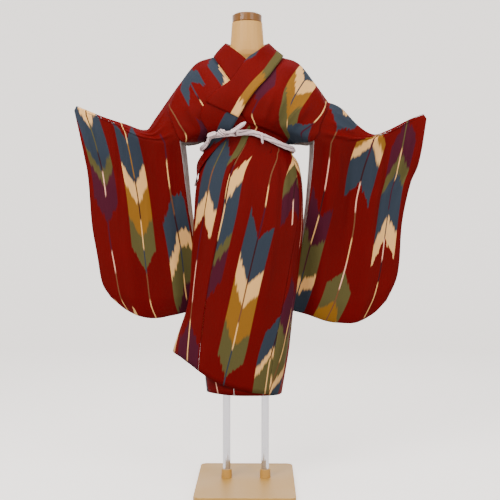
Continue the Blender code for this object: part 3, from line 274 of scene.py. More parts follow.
# The bottom edge from the inner edge to the middle of the rounded corner
BOTTOM_COLUMNS = ("share", "x", "z")
BOTTOM_LEFT = (
    (0.00, 0.1480, 0.5680),
    (0.20, 0.2110, 0.5520),
    (0.40, 0.2780, 0.5290),
    (0.56, 0.3290, 0.5240),
    (0.69, 0.3710, 0.5280),
    (0.87, 0.4290, 0.5570),
    (1.00, 0.4720, 0.6020),
)
BOTTOM_RIGHT = (
    (0.00, 0.1510, 0.5720),
    (0.21, 0.2180, 0.5590),
    (0.36, 0.2660, 0.5480),
    (0.51, 0.3130, 0.5390),
    (0.65, 0.3560, 0.5440),
    (0.85, 0.4160, 0.5690),
    (1.00, 0.4680, 0.6140),
)
# Soft waves of the hanging sleeves: station at the top and at the foot, width, and depth
WAVES = (
    (0.18, 0.26, 0.09, -0.010),
    (0.40, 0.50, 0.10, 0.009),
    (0.62, 0.70, 0.08, -0.008),
    (0.86, 0.84, 0.07, 0.006),
)
CUFF_SHARE = 0.34
CUFF_BLEND = 0.10
ROLL_BULGE = 0.020
BAG_HALF = 0.015
CUFF_HALF = 0.011
TOP_HALF = 0.005

# The sash
BAND_COLUMNS = ("degrees", "height")
BAND = (
    (-180, 1.124),
    (-135, 1.116),
    (-90, 1.107),
    (-65, 1.114),
    (-45, 1.139),
    (0, 1.150),
    (14, 1.149),
    (42, 1.127),
    (75, 1.103),
    (110, 1.104),
    (145, 1.116),
    (180, 1.124),
)
BAND_TALL = 0.0195
BAND_DEEP = 0.010
BAND_STEPS = 288
BAND_SIDES = 40
BAND_TWISTS = 11
BAND_SWELL = 0.10
STRANDS, STRAND_OUT, WRINKLE = 3, 0.48, 0.035
KNOT_LEAN, KNOT_WINDS, KNOT_GROOVE = (0.55, 0.0, 0.83), 3, 0.30
BAND_CLEAR = 0.0018
BAND_LOOK = math.radians(4)
BELT_RISE = 0.020
KNOT_DEGREES = -31
KNOT_WIDE, KNOT_DEEP, KNOT_TALL = 0.032, 0.019, 0.025
KNOT_RISE = 0.002
KNOT_CLEAR = 0.0006
KNOT_REACH = 9.0
TAIL_TALL, TAIL_DEEP = 0.0155, 0.007
TAIL_CLEAR = 0.0035
SEAT_GAP = 0.0005
SEAT_REACH = 0.05
TUCK_DEGREES = 24
TUCK_RISE = 0.002

# %% [markdown]
# Cloth bends in smooth curves, so all the tables are read through one smooth curve. Straight pieces between
# the measured places would leave creases that the real cloth does not have.

# %% Smooth curves through the tables
def column(rows, columns, name):
    place = columns.index(name)
    return [row[place] for row in rows]


def smooth_between(keys, values, at):
    """A Catmull-Rom curve through values at keys that rise or fall; it is held level past both ends."""
    if keys[0] > keys[-1]:
        keys, values = keys[::-1], values[::-1]
    if at <= keys[0]:
        return values[0]
    if at >= keys[-1]:
        return values[-1]
    i = max(k for k in range(len(keys) - 1) if keys[k] <= at)
    before, after = max(i - 1, 0), min(i + 2, len(keys) - 1)
    span = keys[i + 1] - keys[i]
    share = (at - keys[i]) / span
    slope_a = (values[i + 1] - values[before]) / (keys[i + 1] - keys[before]) * span
    slope_b = (values[after] - values[i]) / (keys[after] - keys[i]) * span
    s2, s3 = share * share, share * share * share
    return (
        (2 * s3 - 3 * s2 + 1) * values[i]
        + (s3 - 2 * s2 + share) * slope_a
        + (-2 * s3 + 3 * s2) * values[i + 1]
        + (s3 - s2) * slope_b
    )


def look_up(rows, columns, name, at):
    """The named column's value where the first column has this value."""
    return smooth_between(column(rows, columns, columns[0]), column(rows, columns, name), at)


def spline_point(points, share):
    """A point on the Catmull-Rom curve through the points, which are evenly spread over 0 to 1."""
    keys = [i / (len(points) - 1) for i in range(len(points))]
    return Vector([smooth_between(keys, [p[axis] for p in points], share) for axis in range(3)])


def way_along(points, share, reach):
    """The way in which the curve through the points runs at this share of it."""
    return spline_point(points, min(share + reach, 1.0)) - spline_point(points, max(share - reach, 0.0))


def ramp(value):
    """A soft step from 0 to 1."""
    value = min(max(value, 0.0), 1.0)
    return value * value * (3 - 2 * value)


def spread(start, end, count):
    return [start + (end - start) * i / count for i in range(count + 1)]


def drape(height, angle):
    """How far the skirt's soft folds lift or sink the cloth at this place."""
    lift = 0.0
    for top_at, low_at, top, bottom, width, depth in DRAPES + SKIRT_FOLDS:
        if not bottom - DRAPE_TAIL < height < top:
            continue
        share = (top - height) / (top - bottom)
        middle = math.radians(top_at + (low_at - top_at) * min(share, 1.0))
        away = (angle - middle + math.pi) % (2 * math.pi) - math.pi
        window = ramp(share * DRAPE_START) * ramp((height - bottom + DRAPE_TAIL) / (2 * DRAPE_TAIL))
        lift += depth * window * math.exp(-((away / math.radians(width)) ** 2))
    return lift


def skirt_point(height, angle, layer="base", raised=0.0):
    """A point of the worn skirt. The angle is 0 at the front and grows towards the wearer's left."""
    size = {name: look_up(SKIRT, SKIRT_COLUMNS, name, height) for name in SKIRT_COLUMNS[1:]}
    across, along = math.sin(angle), math.cos(angle)
    side = size["right"] if across > 0 else size["left"]
    depth = size["front"] if along > 0 else size["back"]
    if layer == "over":
        side = size["right"] if across > 0 else size["over_left"]
        depth += LAYER * ramp((side_angle(height, "over") - angle) / SEAM_RAMP) if along > 0 else LAYER
    if layer == "under":
        inner = ramp((angle - side_angle(height, "under")) / SEAM_RAMP)
        side -= UNDER_INSET if across > 0 else 0.0
        depth -= LAYER * inner if along > 0 else UNDER_INSET
    lift = drape(height, angle) + raised
    power = 2 / RING_POWER
    x = math.copysign(abs(across) ** power, across) * (side + lift)
    y = -math.copysign(abs(along) ** power, along) * (depth + lift)
    return Vector((x, y, height))


def angle_at(height, x):
    """The angle on the front of the skirt whose point has this x."""
    size = "right" if x > 0 else "over_left"
    share = min(abs(x) / look_up(SKIRT, SKIRT_COLUMNS, size, height), 1.0)
    return math.copysign(math.asin(share ** (RING_POWER / 2)), x)


def side_angle(height, layer):
    return angle_at(height, look_up(SEAMS, SEAM_COLUMNS, layer + "_side", height))


def seam_angle(height, layer):
    return angle_at(height, look_up(SEAMS, SEAM_COLUMNS, layer + "_seam", height))


def hem_height(angle, layer):
    return look_up(HEMS, HEM_COLUMNS, "over" if layer == "over" else "plain", math.degrees(angle))


def net_point(net, down, out):
    """A point of a bodice net: down counts its rows, and out runs from the collar (0) to the armhole (1)."""
    line = [spline_point(row[1:], out) for row in net]
    return spline_point(line, down / (len(net) - 1))


def mirrored(point):
    return Vector((2 * CENTRE_X - point[0], point[1], point[2]))

# %% [markdown]
# Worn layers never pass through each other: a front that crosses over is pushed out by what it covers. Each
# sheet is laid the same way here. It is moved straight out from the body's upright axis until it clears the
# sheets inside it. A cloth simulation could do that too, but this keeps the outline of the dressed garment.

# %% Laying one sheet over another
SHARPEST_TURN = 0.45


def moved_out(mesh, distance):
    """A copy of the sheet moved along its normals, further where it turns sharply."""
    copy = mesh.copy()
    facing = [[] for _ in mesh.vertices]
    for face in mesh.polygons:
        for corner in face.vertices:
            facing[corner].append(face.normal.copy())
    normals = [vertex.normal.copy() for vertex in mesh.vertices]
    for vertex, normal, around in zip(copy.vertices, normals, facing):
        even = sum(normal.dot(face) for face in around) / len(around)
        vertex.co += normal * distance / max(even, SHARPEST_TURN)
    return copy


def points_of(rows):
    return [point for row in rows for point in row]


def faces_of(rows, start=0):
    """The triangles between rows of points, as numbers of their points."""
    wide = len(rows[0])
    faces = []
    for i in range(len(rows) - 1):
        for j in range(wide - 1):
            first = start + i * wide + j
            faces.append((first, first + 1, first + wide + 1))
            faces.append((first, first + wide + 1, first + wide))
    return faces


def tree_of(sheets):
    """One search tree over the faces of these sheets, each given as rows of points."""
    points, faces = [], []
    for rows in sheets:
        faces += faces_of(rows, len(points))
        points += points_of(rows)
    return BVHTree.FromPolygons(points, faces)


def core_of(point):
    """The point on the body's upright axis that this point lies out from."""
    return Vector((CENTRE_X, 0.0, min(point.z, CORE_TOP)))


def meeting(point, tree):
    """How far past the point the line out from the core meets the tree, how squarely, and at which face."""
    core = core_of(point)
    reach = (point - core).length
    out = (point - core) / reach
    start = core + out * (reach + SETTLE_REACH)
    hit, normal, index, _ = tree.ray_cast(start, -out, 2 * SETTLE_REACH)
    if hit is None:
        return None
    return (hit - core).length - reach, max(abs(normal.dot(out)), FLATTEST), index


def spread_over(grid, combine):
    """Each cell combined with its neighbours."""
    wide = np.pad(grid, EVEN_REACH, mode="edge")
    tall, across = grid.shape
    span = range(2 * EVEN_REACH + 1)
    return combine([wide[i : i + tall, j : j + across] for i in span for j in span], axis=0)


def evened(grid):
    """How far each place moves, raised to its neighbours' most and then made even."""
    grid = spread_over(grid, np.max)
    return spread_over(spread_over(grid, np.mean), np.mean)


def settled(rows, others, clear, moves=None):
    """The sheet moved out from the core until it clears the others. moves says which points may move."""
    wide = len(rows[0])
    points, faces = [point.copy() for point in points_of(rows)], faces_of(rows)
    free = [moves is None or moves(point, i // wide) for i, point in enumerate(points)]
    others_tree = tree_of(others)
    marks = [mark for sheet in others for mark in points_of(sheet)]
    clear += SETTLE_MARGIN
    start = list(points)
    for _ in range(SETTLE_PASSES):
        push = [0.0] * len(points)
        for i, point in enumerate(points):
            found = meeting(point, others_tree)
            if found is not None:
                push[i] = max(push[i], found[0] + clear / found[1])
        own_tree = BVHTree.FromPolygons(points, faces)
        for mark in marks:
            found = meeting(mark, own_tree)
            if found is not None:
                for i in faces[found[2]]:
                    push[i] = max(push[i], clear / found[1] - found[0])
        for i, point in enumerate(points):
            if free[i] and push[i] > 0:
                points[i] = point + (point - core_of(point)).normalized() * push[i]
    moved = [(point - first).length if loose else 0.0 for point, first, loose in zip(points, start, free)]
    moved = evened(np.array(moved).reshape(-1, wide)).reshape(-1)
    for i, first in enumerate(start):
        if free[i]:
            points[i] = first + (first - core_of(first)).normalized() * float(moved[i])
    return [points[i : i + wide] for i in range(0, len(points), wide)]


def lifted(rows, distance):
    """The sheet moved out along its normals."""
    mesh = moved_out(outward_mesh("lifted", rows), distance)
    points = [vertex.co.copy() for vertex in mesh.vertices]
    wide = len(rows[0])
    return [points[i : i + wide] for i in range(0, len(points), wide)]


def grid_mesh(name, rows, around=False):
    """An open sheet through rows of points. With around, the last row joins the first."""
    wide = len(rows[0])
    count = len(rows) if around else len(rows) - 1
    faces = []
    for i in range(count):
        first, second = i * wide, ((i + 1) % len(rows)) * wide
        faces += [(first + j, first + j + 1, second + j + 1, second + j) for j in range(wide - 1)]
    mesh = bpy.data.meshes.new(name)
    mesh.from_pydata(points_of(rows), [], faces)
    return mesh


def outward_mesh(name, rows):
    """An open sheet whose faces look away from the upright axis."""
    mesh = grid_mesh(name, rows)
    facing = 0.0
    for face in mesh.polygons:
        away = face.center - Vector((CENTRE_X, 0.0, face.center.z))
        facing += face.normal.dot(away) * face.area
    if facing < 0:
        mesh.flip_normals()
    return mesh

# %% [markdown]
# Silk crepe hangs with a few soft folds and some short creases where the sash gathers it and where the arms
# pull. They were placed one by one, each a soft ridge or trough along a line, uneven in length, depth and
# spacing.

# %% Creases placed one by one
# On the bodice: x and height of the start, x and height of the end, width and depth
FRONT_FOLDS = (
    (0.052, 1.172, 0.088, 1.268, 0.0090, 0.0048),
    (0.084, 1.160, 0.132, 1.292, 0.0110, 0.0056),
    (0.108, 1.152, 0.176, 1.246, 0.0080, 0.0042),
    (0.132, 1.146, 0.214, 1.262, 0.0120, 0.0059),
    (0.150, 1.138, 0.236, 1.196, 0.0090, 0.0050),
    (0.168, 1.132, 0.250, 1.160, 0.0100, 0.0056),
    (0.196, 1.352, 0.252, 1.236, 0.0120, 0.0042),
    (0.226, 1.322, 0.262, 1.210, 0.0080, 0.0048),
    (-0.062, 1.160, -0.082, 1.228, 0.0080, 0.0042),
    (-0.088, 1.154, -0.116, 1.276, 0.0110, 0.0053),
    (-0.112, 1.148, -0.158, 1.238, 0.0085, 0.0042),
    (-0.130, 1.142, -0.196, 1.264, 0.0120, 0.0056),
    (-0.146, 1.136, -0.226, 1.190, 0.0090, 0.0050),
    (-0.186, 1.356, -0.236, 1.246, 0.0110, 0.0042),
    (-0.212, 1.330, -0.250, 1.204, 0.0085, 0.0045),
)
BACK_FOLDS = (
    (0.030, 1.182, 0.036, 1.262, 0.0090, 0.0041),
    (0.062, 1.178, 0.082, 1.300, 0.0120, 0.0054),
    (0.094, 1.172, 0.132, 1.252, 0.0090, 0.0041),
    (0.122, 1.160, 0.192, 1.258, 0.0120, 0.0057),
    (0.148, 1.146, 0.232, 1.186, 0.0090, 0.0049),
    (0.190, 1.340, 0.246, 1.220, 0.0110, 0.0046),
    (-0.026, 1.182, -0.030, 1.250, 0.0085, 0.0038),
    (-0.056, 1.178, -0.070, 1.288, 0.0110, 0.0051),
    (-0.086, 1.172, -0.124, 1.262, 0.0090, 0.0043),
    (-0.116, 1.160, -0.178, 1.240, 0.0120, 0.0054),
    (-0.140, 1.146, -0.224, 1.196, 0.0090, 0.0046),
    (-0.182, 1.336, -0.238, 1.214, 0.0110, 0.0043),
)
# Narrow folds down the skirt: degrees at the top and at the foot, top and bottom heights, width in degrees
# and depth
SKIRT_FOLDS = (
    (-58, -66, 1.110, 0.900, 4.0, 0.0039),
    (-40, -47, 1.120, 0.760, 5.0, 0.0034),
    (-14, -20, 1.125, 0.940, 3.5, 0.0029),
    (6, -2, 1.125, 0.820, 4.5, 0.0034),
    (34, 22, 1.120, 0.640, 5.0, 0.0044),
    (47, 40, 1.110, 0.860, 4.0, 0.0039),
    (74, 62, 1.100, 0.520, 4.5, 0.0044),
    (102, 98, 1.100, 0.700, 5.0, 0.0047),
    (131, 128, 1.110, 0.820, 4.5, 0.0036),
    (165, 163, 1.110, 0.600, 5.0, 0.0044),
    (-168, -170, 1.110, 0.760, 4.5, 0.0039),
    (-139, -136, 1.110, 0.560, 5.0, 0.0047),
    (-108, -104, 1.100, 0.740, 4.0, 0.0039),
)
# Creases of the sleeves: station and share down at both ends, width and depth
SLEEVE_FOLDS = (
    (0.08, 0.00, 0.15, 0.44, 0.030, 0.0065),
    (0.24, 0.00, 0.29, 0.30, 0.024, -0.0050),
    (0.35, 0.00, 0.44, 0.52, 0.032, 0.0065),
    (0.52, 0.00, 0.57, 0.34, 0.026, -0.0055),
    (0.64, 0.00, 0.76, 0.60, 0.034, 0.0060),
    (0.80, 0.02, 0.86, 0.30, 0.022, -0.0040),
    (0.94, 0.02, 0.90, 0.42, 0.030, 0.0050),
)
# Creases of the slack over the arm: station and share up at both ends, width and depth
ROLL_FOLDS = (
    (0.00, 0.16, 0.40, 0.34, 0.050, 0.0075),
    (0.04, 0.46, 0.34, 0.62, 0.045, 0.0063),
    (0.02, 0.78, 0.30, 0.84, 0.040, 0.0056),
    (0.26, 0.14, 0.56, 0.46, 0.045, 0.0063),
    (0.42, 0.70, 0.74, 0.40, 0.050, 0.0056),
    (0.60, 0.24, 0.92, 0.60, 0.050, 0.0044),
)
# How far a crease runs on past both ends, and over what share of its length it comes and goes
FOLD_FADE, FOLD_COMES, FOLD_GOES = 0.10, 0.3, 0.4


def fold_lift(folds, across, up):
    """How far a table of creases lifts the cloth at this place."""
    lift = 0.0
    for start_a, start_b, end_a, end_b, width, depth in folds:
        run_a, run_b = end_a - start_a, end_b - start_b
        share = ((across - start_a) * run_a + (up - start_b) * run_b) / (run_a * run_a + run_b * run_b)
        if not -FOLD_FADE < share < 1 + FOLD_FADE:
            continue
        away = math.hypot(across - start_a - run_a * share, up - start_b - run_b * share) / width
        comes = ramp((share + FOLD_FADE) / (FOLD_COMES + FOLD_FADE))
        goes = ramp((1 + FOLD_FADE - share) / (FOLD_GOES + FOLD_FADE))
        lift += depth * (comes * goes) * math.exp(-away * away)
    return lift


def creased(rows):
    """The rows of a bodice cloth with its creases, lifted away from the upright axis."""
    made = []
    for row in rows:
        line = []
        for point in row:
            lift = fold_lift(FRONT_FOLDS if point.y < 0 else BACK_FOLDS, point.x, point.z)
            line.append(point + (point - core_of(point)).normalized() * lift)
        made.append(line)
    return made


print("creases:", len(FRONT_FOLDS + BACK_FOLDS), "on the bodice,", len(SKIRT_FOLDS + DRAPES), "on the skirt")

# %% [markdown]
# The body cloths, overlaps and collars are sewn from flat widths, and worn the wearer's right front goes
# under and the left one over it. They are laid here in that order, from the inside out, each in rows of
# points that run across the cloth, so its threads follow the rows. Finer rows than in the solids let the
# creases show.

# %% Body cloths, overlaps and collars
BODY_COLUMNS = 44
SKIRT_ROWS = 52
BODICE_FRONT_ROWS = 32
BODICE_BACK_ROWS = 34
OVERLAP_COLUMNS = 20
OVERLAP_TOP_DOWN = 3.3
HEIGHT_TRIES = 4
# Where the fronts cross: the depth and the reach to the side over which one lies over the other
CROSSING_DEPTH, CROSSING_REACH, CROSSING_FADE = 0.03, 0.11, 0.07
FRONT_ONLY_Y = -0.02
COLLAR_ACROSS = 12
COLLAR_STEPS = 176
COLLAR_LOOK = 0.01
# How much of the collar is laid before the outer front, and how many of its rows the outer collar crosses
INNER_SHARE = 8 / 18
CROSSING_ROWS = 56


def gap_share(first, second):
    """How much of the way from the first point to the second one seam gap is."""
    return SEAM_GAP / max((second - first).length, SEAM_GAP)


def belt_height(angle):
    """Where the bodice ends and the skirt begins, just above the sash."""
    return look_up(BAND, BAND_COLUMNS, "height", math.degrees(angle)) + BELT_RISE


def skirt_row(share, layer, hem, columns, ends):
    """One row of the skirt, share of the way down. ends gives the angles of its two ends at a height."""
    row = []
    for out in spread(0.0, 1.0, columns):
        height = SKIRT[0][0]
        for _ in range(HEIGHT_TRIES):
            start, end = ends(height)
            angle = start + (end - start) * out
            top = belt_height(angle)
            height = top + (hem_height(angle, hem) - top) * share
        row.append(skirt_point(height, angle, layer))
    return trimmed(row)


def skirt_front_row(share, layer):
    """A row of a front panel, from its overlap seam to its side seam."""
    def ends(height):
        return seam_angle(height, layer), side_angle(height, layer)

    return skirt_row(share, layer, layer, BODY_COLUMNS, ends)


def skirt_back_row(share, layer):
    """A row of a back panel, from the centre back round to the side seam."""
    back = math.pi if layer == "over" else -math.pi
    return skirt_row(share, "base", "plain", BODY_COLUMNS, lambda z: (back, side_angle(z, layer)))


def free_angle(height, layer):
    """The angle of an overlap's outer edge: sewn to the collar above, free below."""
    if layer == "under":
        return math.radians(UNDER_FREE_DEGREES)
    sewn = angle_at(height, look_up(SEWN_EDGE, SEWN_COLUMNS, "x", height))
    loose = ramp((SEWN_END - height) / (SEWN_END - FREE_START))
    return sewn + (math.radians(OVER_FREE_DEGREES) - sewn) * loose


def overlap_row(share, layer):
    """A row of an overlap, from its seam with the front to its outer edge."""
    def ends(height):
        return seam_angle(height, layer), free_angle(height, layer)

    return skirt_row(share, layer, layer, OVERLAP_COLUMNS, ends)


def trimmed(row):
    """The row with both of its ends drawn in by half a seam gap."""
    first, last = row[0].copy(), row[-1].copy()
    row[0] = first.lerp(row[1], gap_share(first, row[1]) / 2)
    row[-1] = last.lerp(row[-2], gap_share(last, row[-2]) / 2)
    return row


def bodice_row(net, down, layer, belt_row):
    """One row of the bodice. Past the net's last row it blends into the row at the belt."""
    last = len(net) - 1
    row = []
    for j, out in enumerate(spread(0.0, 1.0, BODY_COLUMNS)):
        point = net_point(net, min(down, last), out)
        point.x = max(point.x, CENTRE_X) if point.y > 0 else point.x
        if layer == "under":
            point = mirrored(point)
        point = point + layer_shift(point, layer)
        if down > last:
            point = point.lerp(belt_row[j], down - last)
        row.append(point)
    return trimmed(row) if down <= last else row


def layer_shift(point, layer):
    """Where the fronts cross, the outer one lies further out and the other further in."""
    if point.y > 0:
        return Vector((0, 0, 0))
    crossing = ramp(-point.y / CROSSING_DEPTH)
    if layer == "over":
        return Vector((0, -BODICE_OVER * crossing * ramp((CROSSING_REACH - point.x) / CROSSING_FADE), 0))
    return Vector((0, BODICE_UNDER * crossing * ramp((point.x + CROSSING_REACH) / CROSSING_FADE), 0))


def body_rows(layer):
    """A body cloth's rows, from the front hem up over the shoulder and down to the back hem."""
    front_belt, back_belt = skirt_front_row(0.0, layer), skirt_back_row(0.0, layer)
    rows = [skirt_front_row(share, layer) for share in spread(1.0, 0.0, SKIRT_ROWS)]
    downs = spread(len(FRONT_NET), 0.0, BODICE_FRONT_ROWS)[1:]
    rows += [bodice_row(FRONT_NET, down, layer, front_belt) for down in downs]
    downs = spread(0.0, len(BACK_NET), BODICE_BACK_ROWS)[1:-1]
    rows += [bodice_row(BACK_NET, down, layer, back_belt) for down in downs]
    rows += [skirt_back_row(share, layer) for share in spread(0.0, 1.0, SKIRT_ROWS)]
    return rows


def overlap_rows(layer):
    """An overlap's rows from the top down. The outer one starts in a point beside the collar."""
    rows = []
    if layer == "over":
        belt = skirt_front_row(0.0, layer)
        for down in spread(len(FRONT_NET), 0.0, BODICE_FRONT_ROWS)[1:]:
            if down > OVERLAP_TOP_DOWN:
                seam = bodice_row(FRONT_NET, down, layer, belt)[0]
                place = {axis: look_up(SEWN_EDGE, SEWN_COLUMNS, axis, seam.z) for axis in ("x", "y")}
                sewn = Vector((place["x"], place["y"], seam.z)) + layer_shift(seam, layer)
                row = [seam.lerp(sewn, share) for share in spread(0.0, 1.0, OVERLAP_COLUMNS)]
                row[0] = seam.lerp(sewn, gap_share(seam, sewn))
                rows.insert(0, row)
    return rows + [overlap_row(share, layer) for share in spread(0.0, 1.0, SKIRT_ROWS)]


def collar_sections():
    """The collar's sewn and free edges, from the inner front's end to the outer front's end."""
    outer = [tuple(Vector(p) for p in pair) for pair in COLLAR_FRONT]
    for sewn_z, sewn_x, free_z, free_degrees in COLLAR_LOW:
        sewn = skirt_point(sewn_z, angle_at(sewn_z, sewn_x), "over")
        outer.append((sewn, skirt_point(free_z, math.radians(free_degrees), "over")))
    inner = []
    for pair in reversed(COLLAR_FRONT[:-2]):
        turned = [mirrored(p) for p in pair]
        inner.append(tuple(p + layer_shift(p, "under") for p in turned))
    neck = [tuple(Vector(p) for p in pair) for pair in COLLAR_NECK]
    neck_inner = [tuple(mirrored(p) for p in pair) for pair in reversed(COLLAR_NECK[1:])]
    return inner + neck_inner + neck + outer


def collar_rows(steps):
    """Rows across the collar, all the way along it, from the lap over the body to the free edge."""
    sections = collar_sections()
    sewn, free = [pair[0] for pair in sections], [pair[1] for pair in sections]
    rows = []
    for share in spread(0.0, 1.0, steps):
        a, b = spline_point(sewn, share), spline_point(free, share)
        along = way_along(sewn, share, COLLAR_LOOK)
        out = (b - a).cross(along).normalized()
        if out.dot(a - Vector((CENTRE_X, 0.0, a.z))) < 0:
            out.negate()
        shares = spread(look_up(LAPS, LAP_COLUMNS, "lap", share), 1.0, COLLAR_ACROSS)
        rows.append([a.lerp(b, w) + out * COLLAR_CROWN * math.sin(math.pi * max(w, 0.0)) for w in shares])
    return rows


def kimono_sheets():
    """Body cloths, overlaps and collars, each laid over what it covers. Returns their rows of points."""
    inner_body, inner_overlap = creased(body_rows("under")), overlap_rows("under")
    body_clear = BODY_WALL + LAYER_GAP
    collar_clear = (BODY_WALL + COLLAR_WALL) / 2 + LAYER_GAP
    halfway = round(COLLAR_STEPS * INNER_SHARE) + 1
    first, last = round(COLLAR_STEPS * OVER_COLLAR_START), round(COLLAR_STEPS * OVER_COLLAR_END)
    collar = collar_rows(COLLAR_STEPS)
    back_half = body_rows("over")[SKIRT_ROWS + BODICE_FRONT_ROWS :]
    inside = [inner_body, inner_overlap, back_half]
    collar = settled(collar, inside, collar_clear, lambda _, row: row < halfway)
    inner_collar = collar[:halfway]
    inner_cover = settled(lifted(collar[first:halfway], collar_clear), [inner_collar], collar_clear)
    covered = [inner_body, inner_overlap, inner_collar, inner_cover]
    outer_body = creased(body_rows("over"))
    outer_body = settled(outer_body, covered, body_clear, lambda point, _: point.y < FRONT_ONLY_Y)
    outer_overlap = settled(overlap_rows("over"), covered, body_clear)
    crossed = [inner_collar[:CROSSING_ROWS], inner_cover[: CROSSING_ROWS - first]]
    below = [inner_body, inner_overlap, outer_body, outer_overlap] + crossed
    outer_collar = settled(collar[halfway - 1 :], below, collar_clear, lambda _, row: row > 0)
    collar = collar[: halfway - 1] + outer_collar
    cover = lifted(collar[first : last + 1], collar_clear)
    turn = halfway - first
    cover = settled(cover, [outer_collar], collar_clear, lambda _, row: row >= turn)
    cover = inner_cover[: turn - 1] + cover[turn - 1 :]
    return {
        "body_left": outer_body,
        "body_right": inner_body,
        "overlap_left": outer_overlap,
        "overlap_right": inner_overlap,
        "collar": collar,
        "over_collar": cover,
    }

# %% [markdown]
# A long sleeve is one cloth folded over the arm, open at the hand, at the armhole and down the inner edge,
# with a rounded outer corner. It hangs from the arm's level line, and the slack above it rolls over in soft
# folds.

# %% Sleeves
STEPS_ACROSS, STEPS_DOWN, STEPS_ROLL = 64, 84, 24
FINE_FROM, FINE_STEPS = 0.95, 8
# How fast the bag narrows from the open edge, and where it has its full and its closed depth
BAG_TAPER, BAG_FULL, FOOT_CLOSES, TIP_CLOSES = 2.4, 0.3, 0.12, 0.15
# The station from which the cuff opens, and over how many
CUFF_FROM, CUFF_OVER = 0.4, 0.6
# How fast the waves start below the arm and out from the armhole
WAVE_DOWN, WAVE_OUT = 3, 8
# The slack's height at which it bulges fully, and the stations over which it leaves the armhole
ROLL_FULL, ARMHOLE_BLEND = 0.16, 0.16
# The rings next to the open edge that show the lining, and the ring that gives the way inwards
REVEAL_RINGS, INWARD_RING = 3, 4


def uneven_steps(count):
    """Even steps from 0 to 1, with finer ones over the last stretch, where the cloth turns."""
    steps = spread(0.0, FINE_FROM, count)[:-1] + [FINE_FROM]
    for step in range(1, FINE_STEPS + 1):
        steps.append(FINE_FROM + (1.0 - FINE_FROM) * math.sin(math.pi / 2 * step / FINE_STEPS))
    return tuple(steps)


SLEEVE_STATIONS = uneven_steps(STEPS_ACROSS)
SLEEVE_SHARES = uneven_steps(STEPS_DOWN)
ROLL_SHARES = tuple(spread(0.0, 1.0, STEPS_ROLL))[1:-1]


def sleeve_point(tables, station, share, back):
    """A point of a sleeve's hanging cloth: station from the inner edge, share down from the hanging line."""
    top, furi, outer, bottom = tables
    ends = {}
    for axis in ("x", "z"):
        line = [look_up(top, SLEEVE_TOP_COLUMNS, "line_" + axis, at) for at in (station, 0.0, 1.0)]
        foot = [look_up(bottom, BOTTOM_COLUMNS, axis, at) for at in (station, 0.0, 1.0)]
        inner = look_up(furi, FURI_COLUMNS, axis, share)
        rim = look_up(outer, OUTER_COLUMNS, axis, share)
        ruled = (1 - share) * line[0] + share * foot[0] + (1 - station) * inner + station * rim
        corners = (1 - station) * (1 - share) * line[1] + station * (1 - share) * line[2]
        corners += (1 - station) * share * foot[1] + station * share * foot[2]
        ends[axis] = ruled - corners
    front_y = look_up(furi, FURI_COLUMNS, "front_y", share)
    back_y = look_up(furi, FURI_COLUMNS, "back_y", share)
    tip_back = look_up(top, SLEEVE_TOP_COLUMNS, "back", 1.0)
    middle = (front_y + back_y) / 2 * (1 - station) + tip_back * station
    half = (back_y - front_y) / 2 * (1 - station) ** BAG_TAPER + BAG_HALF * ramp(station / BAG_FULL)
    half *= min(1.0, math.sqrt(max(1 - share, 0.0) / FOOT_CLOSES))
    round_open = math.sin(math.pi * min(share / CUFF_SHARE, 1.0))
    open_half = TOP_HALF * max(1 - share / CUFF_SHARE, 0.0) + CUFF_HALF * round_open
    opened = half + (open_half - half) * ramp((station - CUFF_FROM) / CUFF_OVER)
    closed = half * min(1.0, math.sqrt(max(1 - station, 0.0) / TIP_CLOSES))
    half = opened + (closed - opened) * ramp((share - CUFF_SHARE) / CUFF_BLEND + 1)
    wave = 0.0
    for station_top, station_low, width, depth in WAVES:
        away = station - (station_top + (station_low - station_top) * share)
        wave += depth * math.exp(-((away / width) ** 2)) * ramp(share * WAVE_DOWN) * ramp(station * WAVE_OUT)
    wave += fold_lift(SLEEVE_FOLDS, station, share)
    return Vector((ends["x"], middle + wave + (half if back else -half), ends["z"]))


def roll_point(tables, station, share, back):
    """A point of the slack cloth between the hanging line (0) and the top fold (1)."""
    top = tables[0]
    low = sleeve_point(tables, station, 0.0, back)
    high = Vector([look_up(top, SLEEVE_TOP_COLUMNS, name, station) for name in ("top_x", "back", "top_z")])
    size = ROLL_BULGE * ramp((high - low).length / ROLL_FULL)
    point = low.lerp(high, share)
    size = size * math.sin(math.pi * share) + fold_lift(ROLL_FOLDS, station, share)
    point.y += size if back else -size
    net = BACK_NET if back else FRONT_NET
    underarm = [row[0] for row in net].index("under")
    armhole = net_point(net, underarm * (1 - share), 1.0)
    return armhole.lerp(point, ramp(station / ARMHOLE_BLEND))


def sleeve_ring(tables, station):
    """All round the sleeve at one station: up the front cloth, over the top fold and down the back cloth."""
    front = [sleeve_point(tables, station, share, False) for share in reversed(SLEEVE_SHARES)]
    rise = [roll_point(tables, station, share, False) for share in ROLL_SHARES]
    fold = roll_point(tables, station, 1.0, False)
    fall = [roll_point(tables, station, share, True) for share in reversed(ROLL_SHARES)]
    back = [sleeve_point(tables, station, share, True) for share in SLEEVE_SHARES]
    return front + rise + [fold] + fall + back


def sleeve_rings(tables, layer):
    """The rings of a sleeve from the armhole to the tip."""
    rings = [sleeve_ring(tables, station) for station in SLEEVE_STATIONS]
    first, second = rings[0], rings[1]
    rings[0] = [a.lerp(b, gap_share(a, b)) for a, b in zip(first, second)]
    if layer == "under":
        rings = [[mirrored(point) for point in ring] for ring in rings]
    return rings


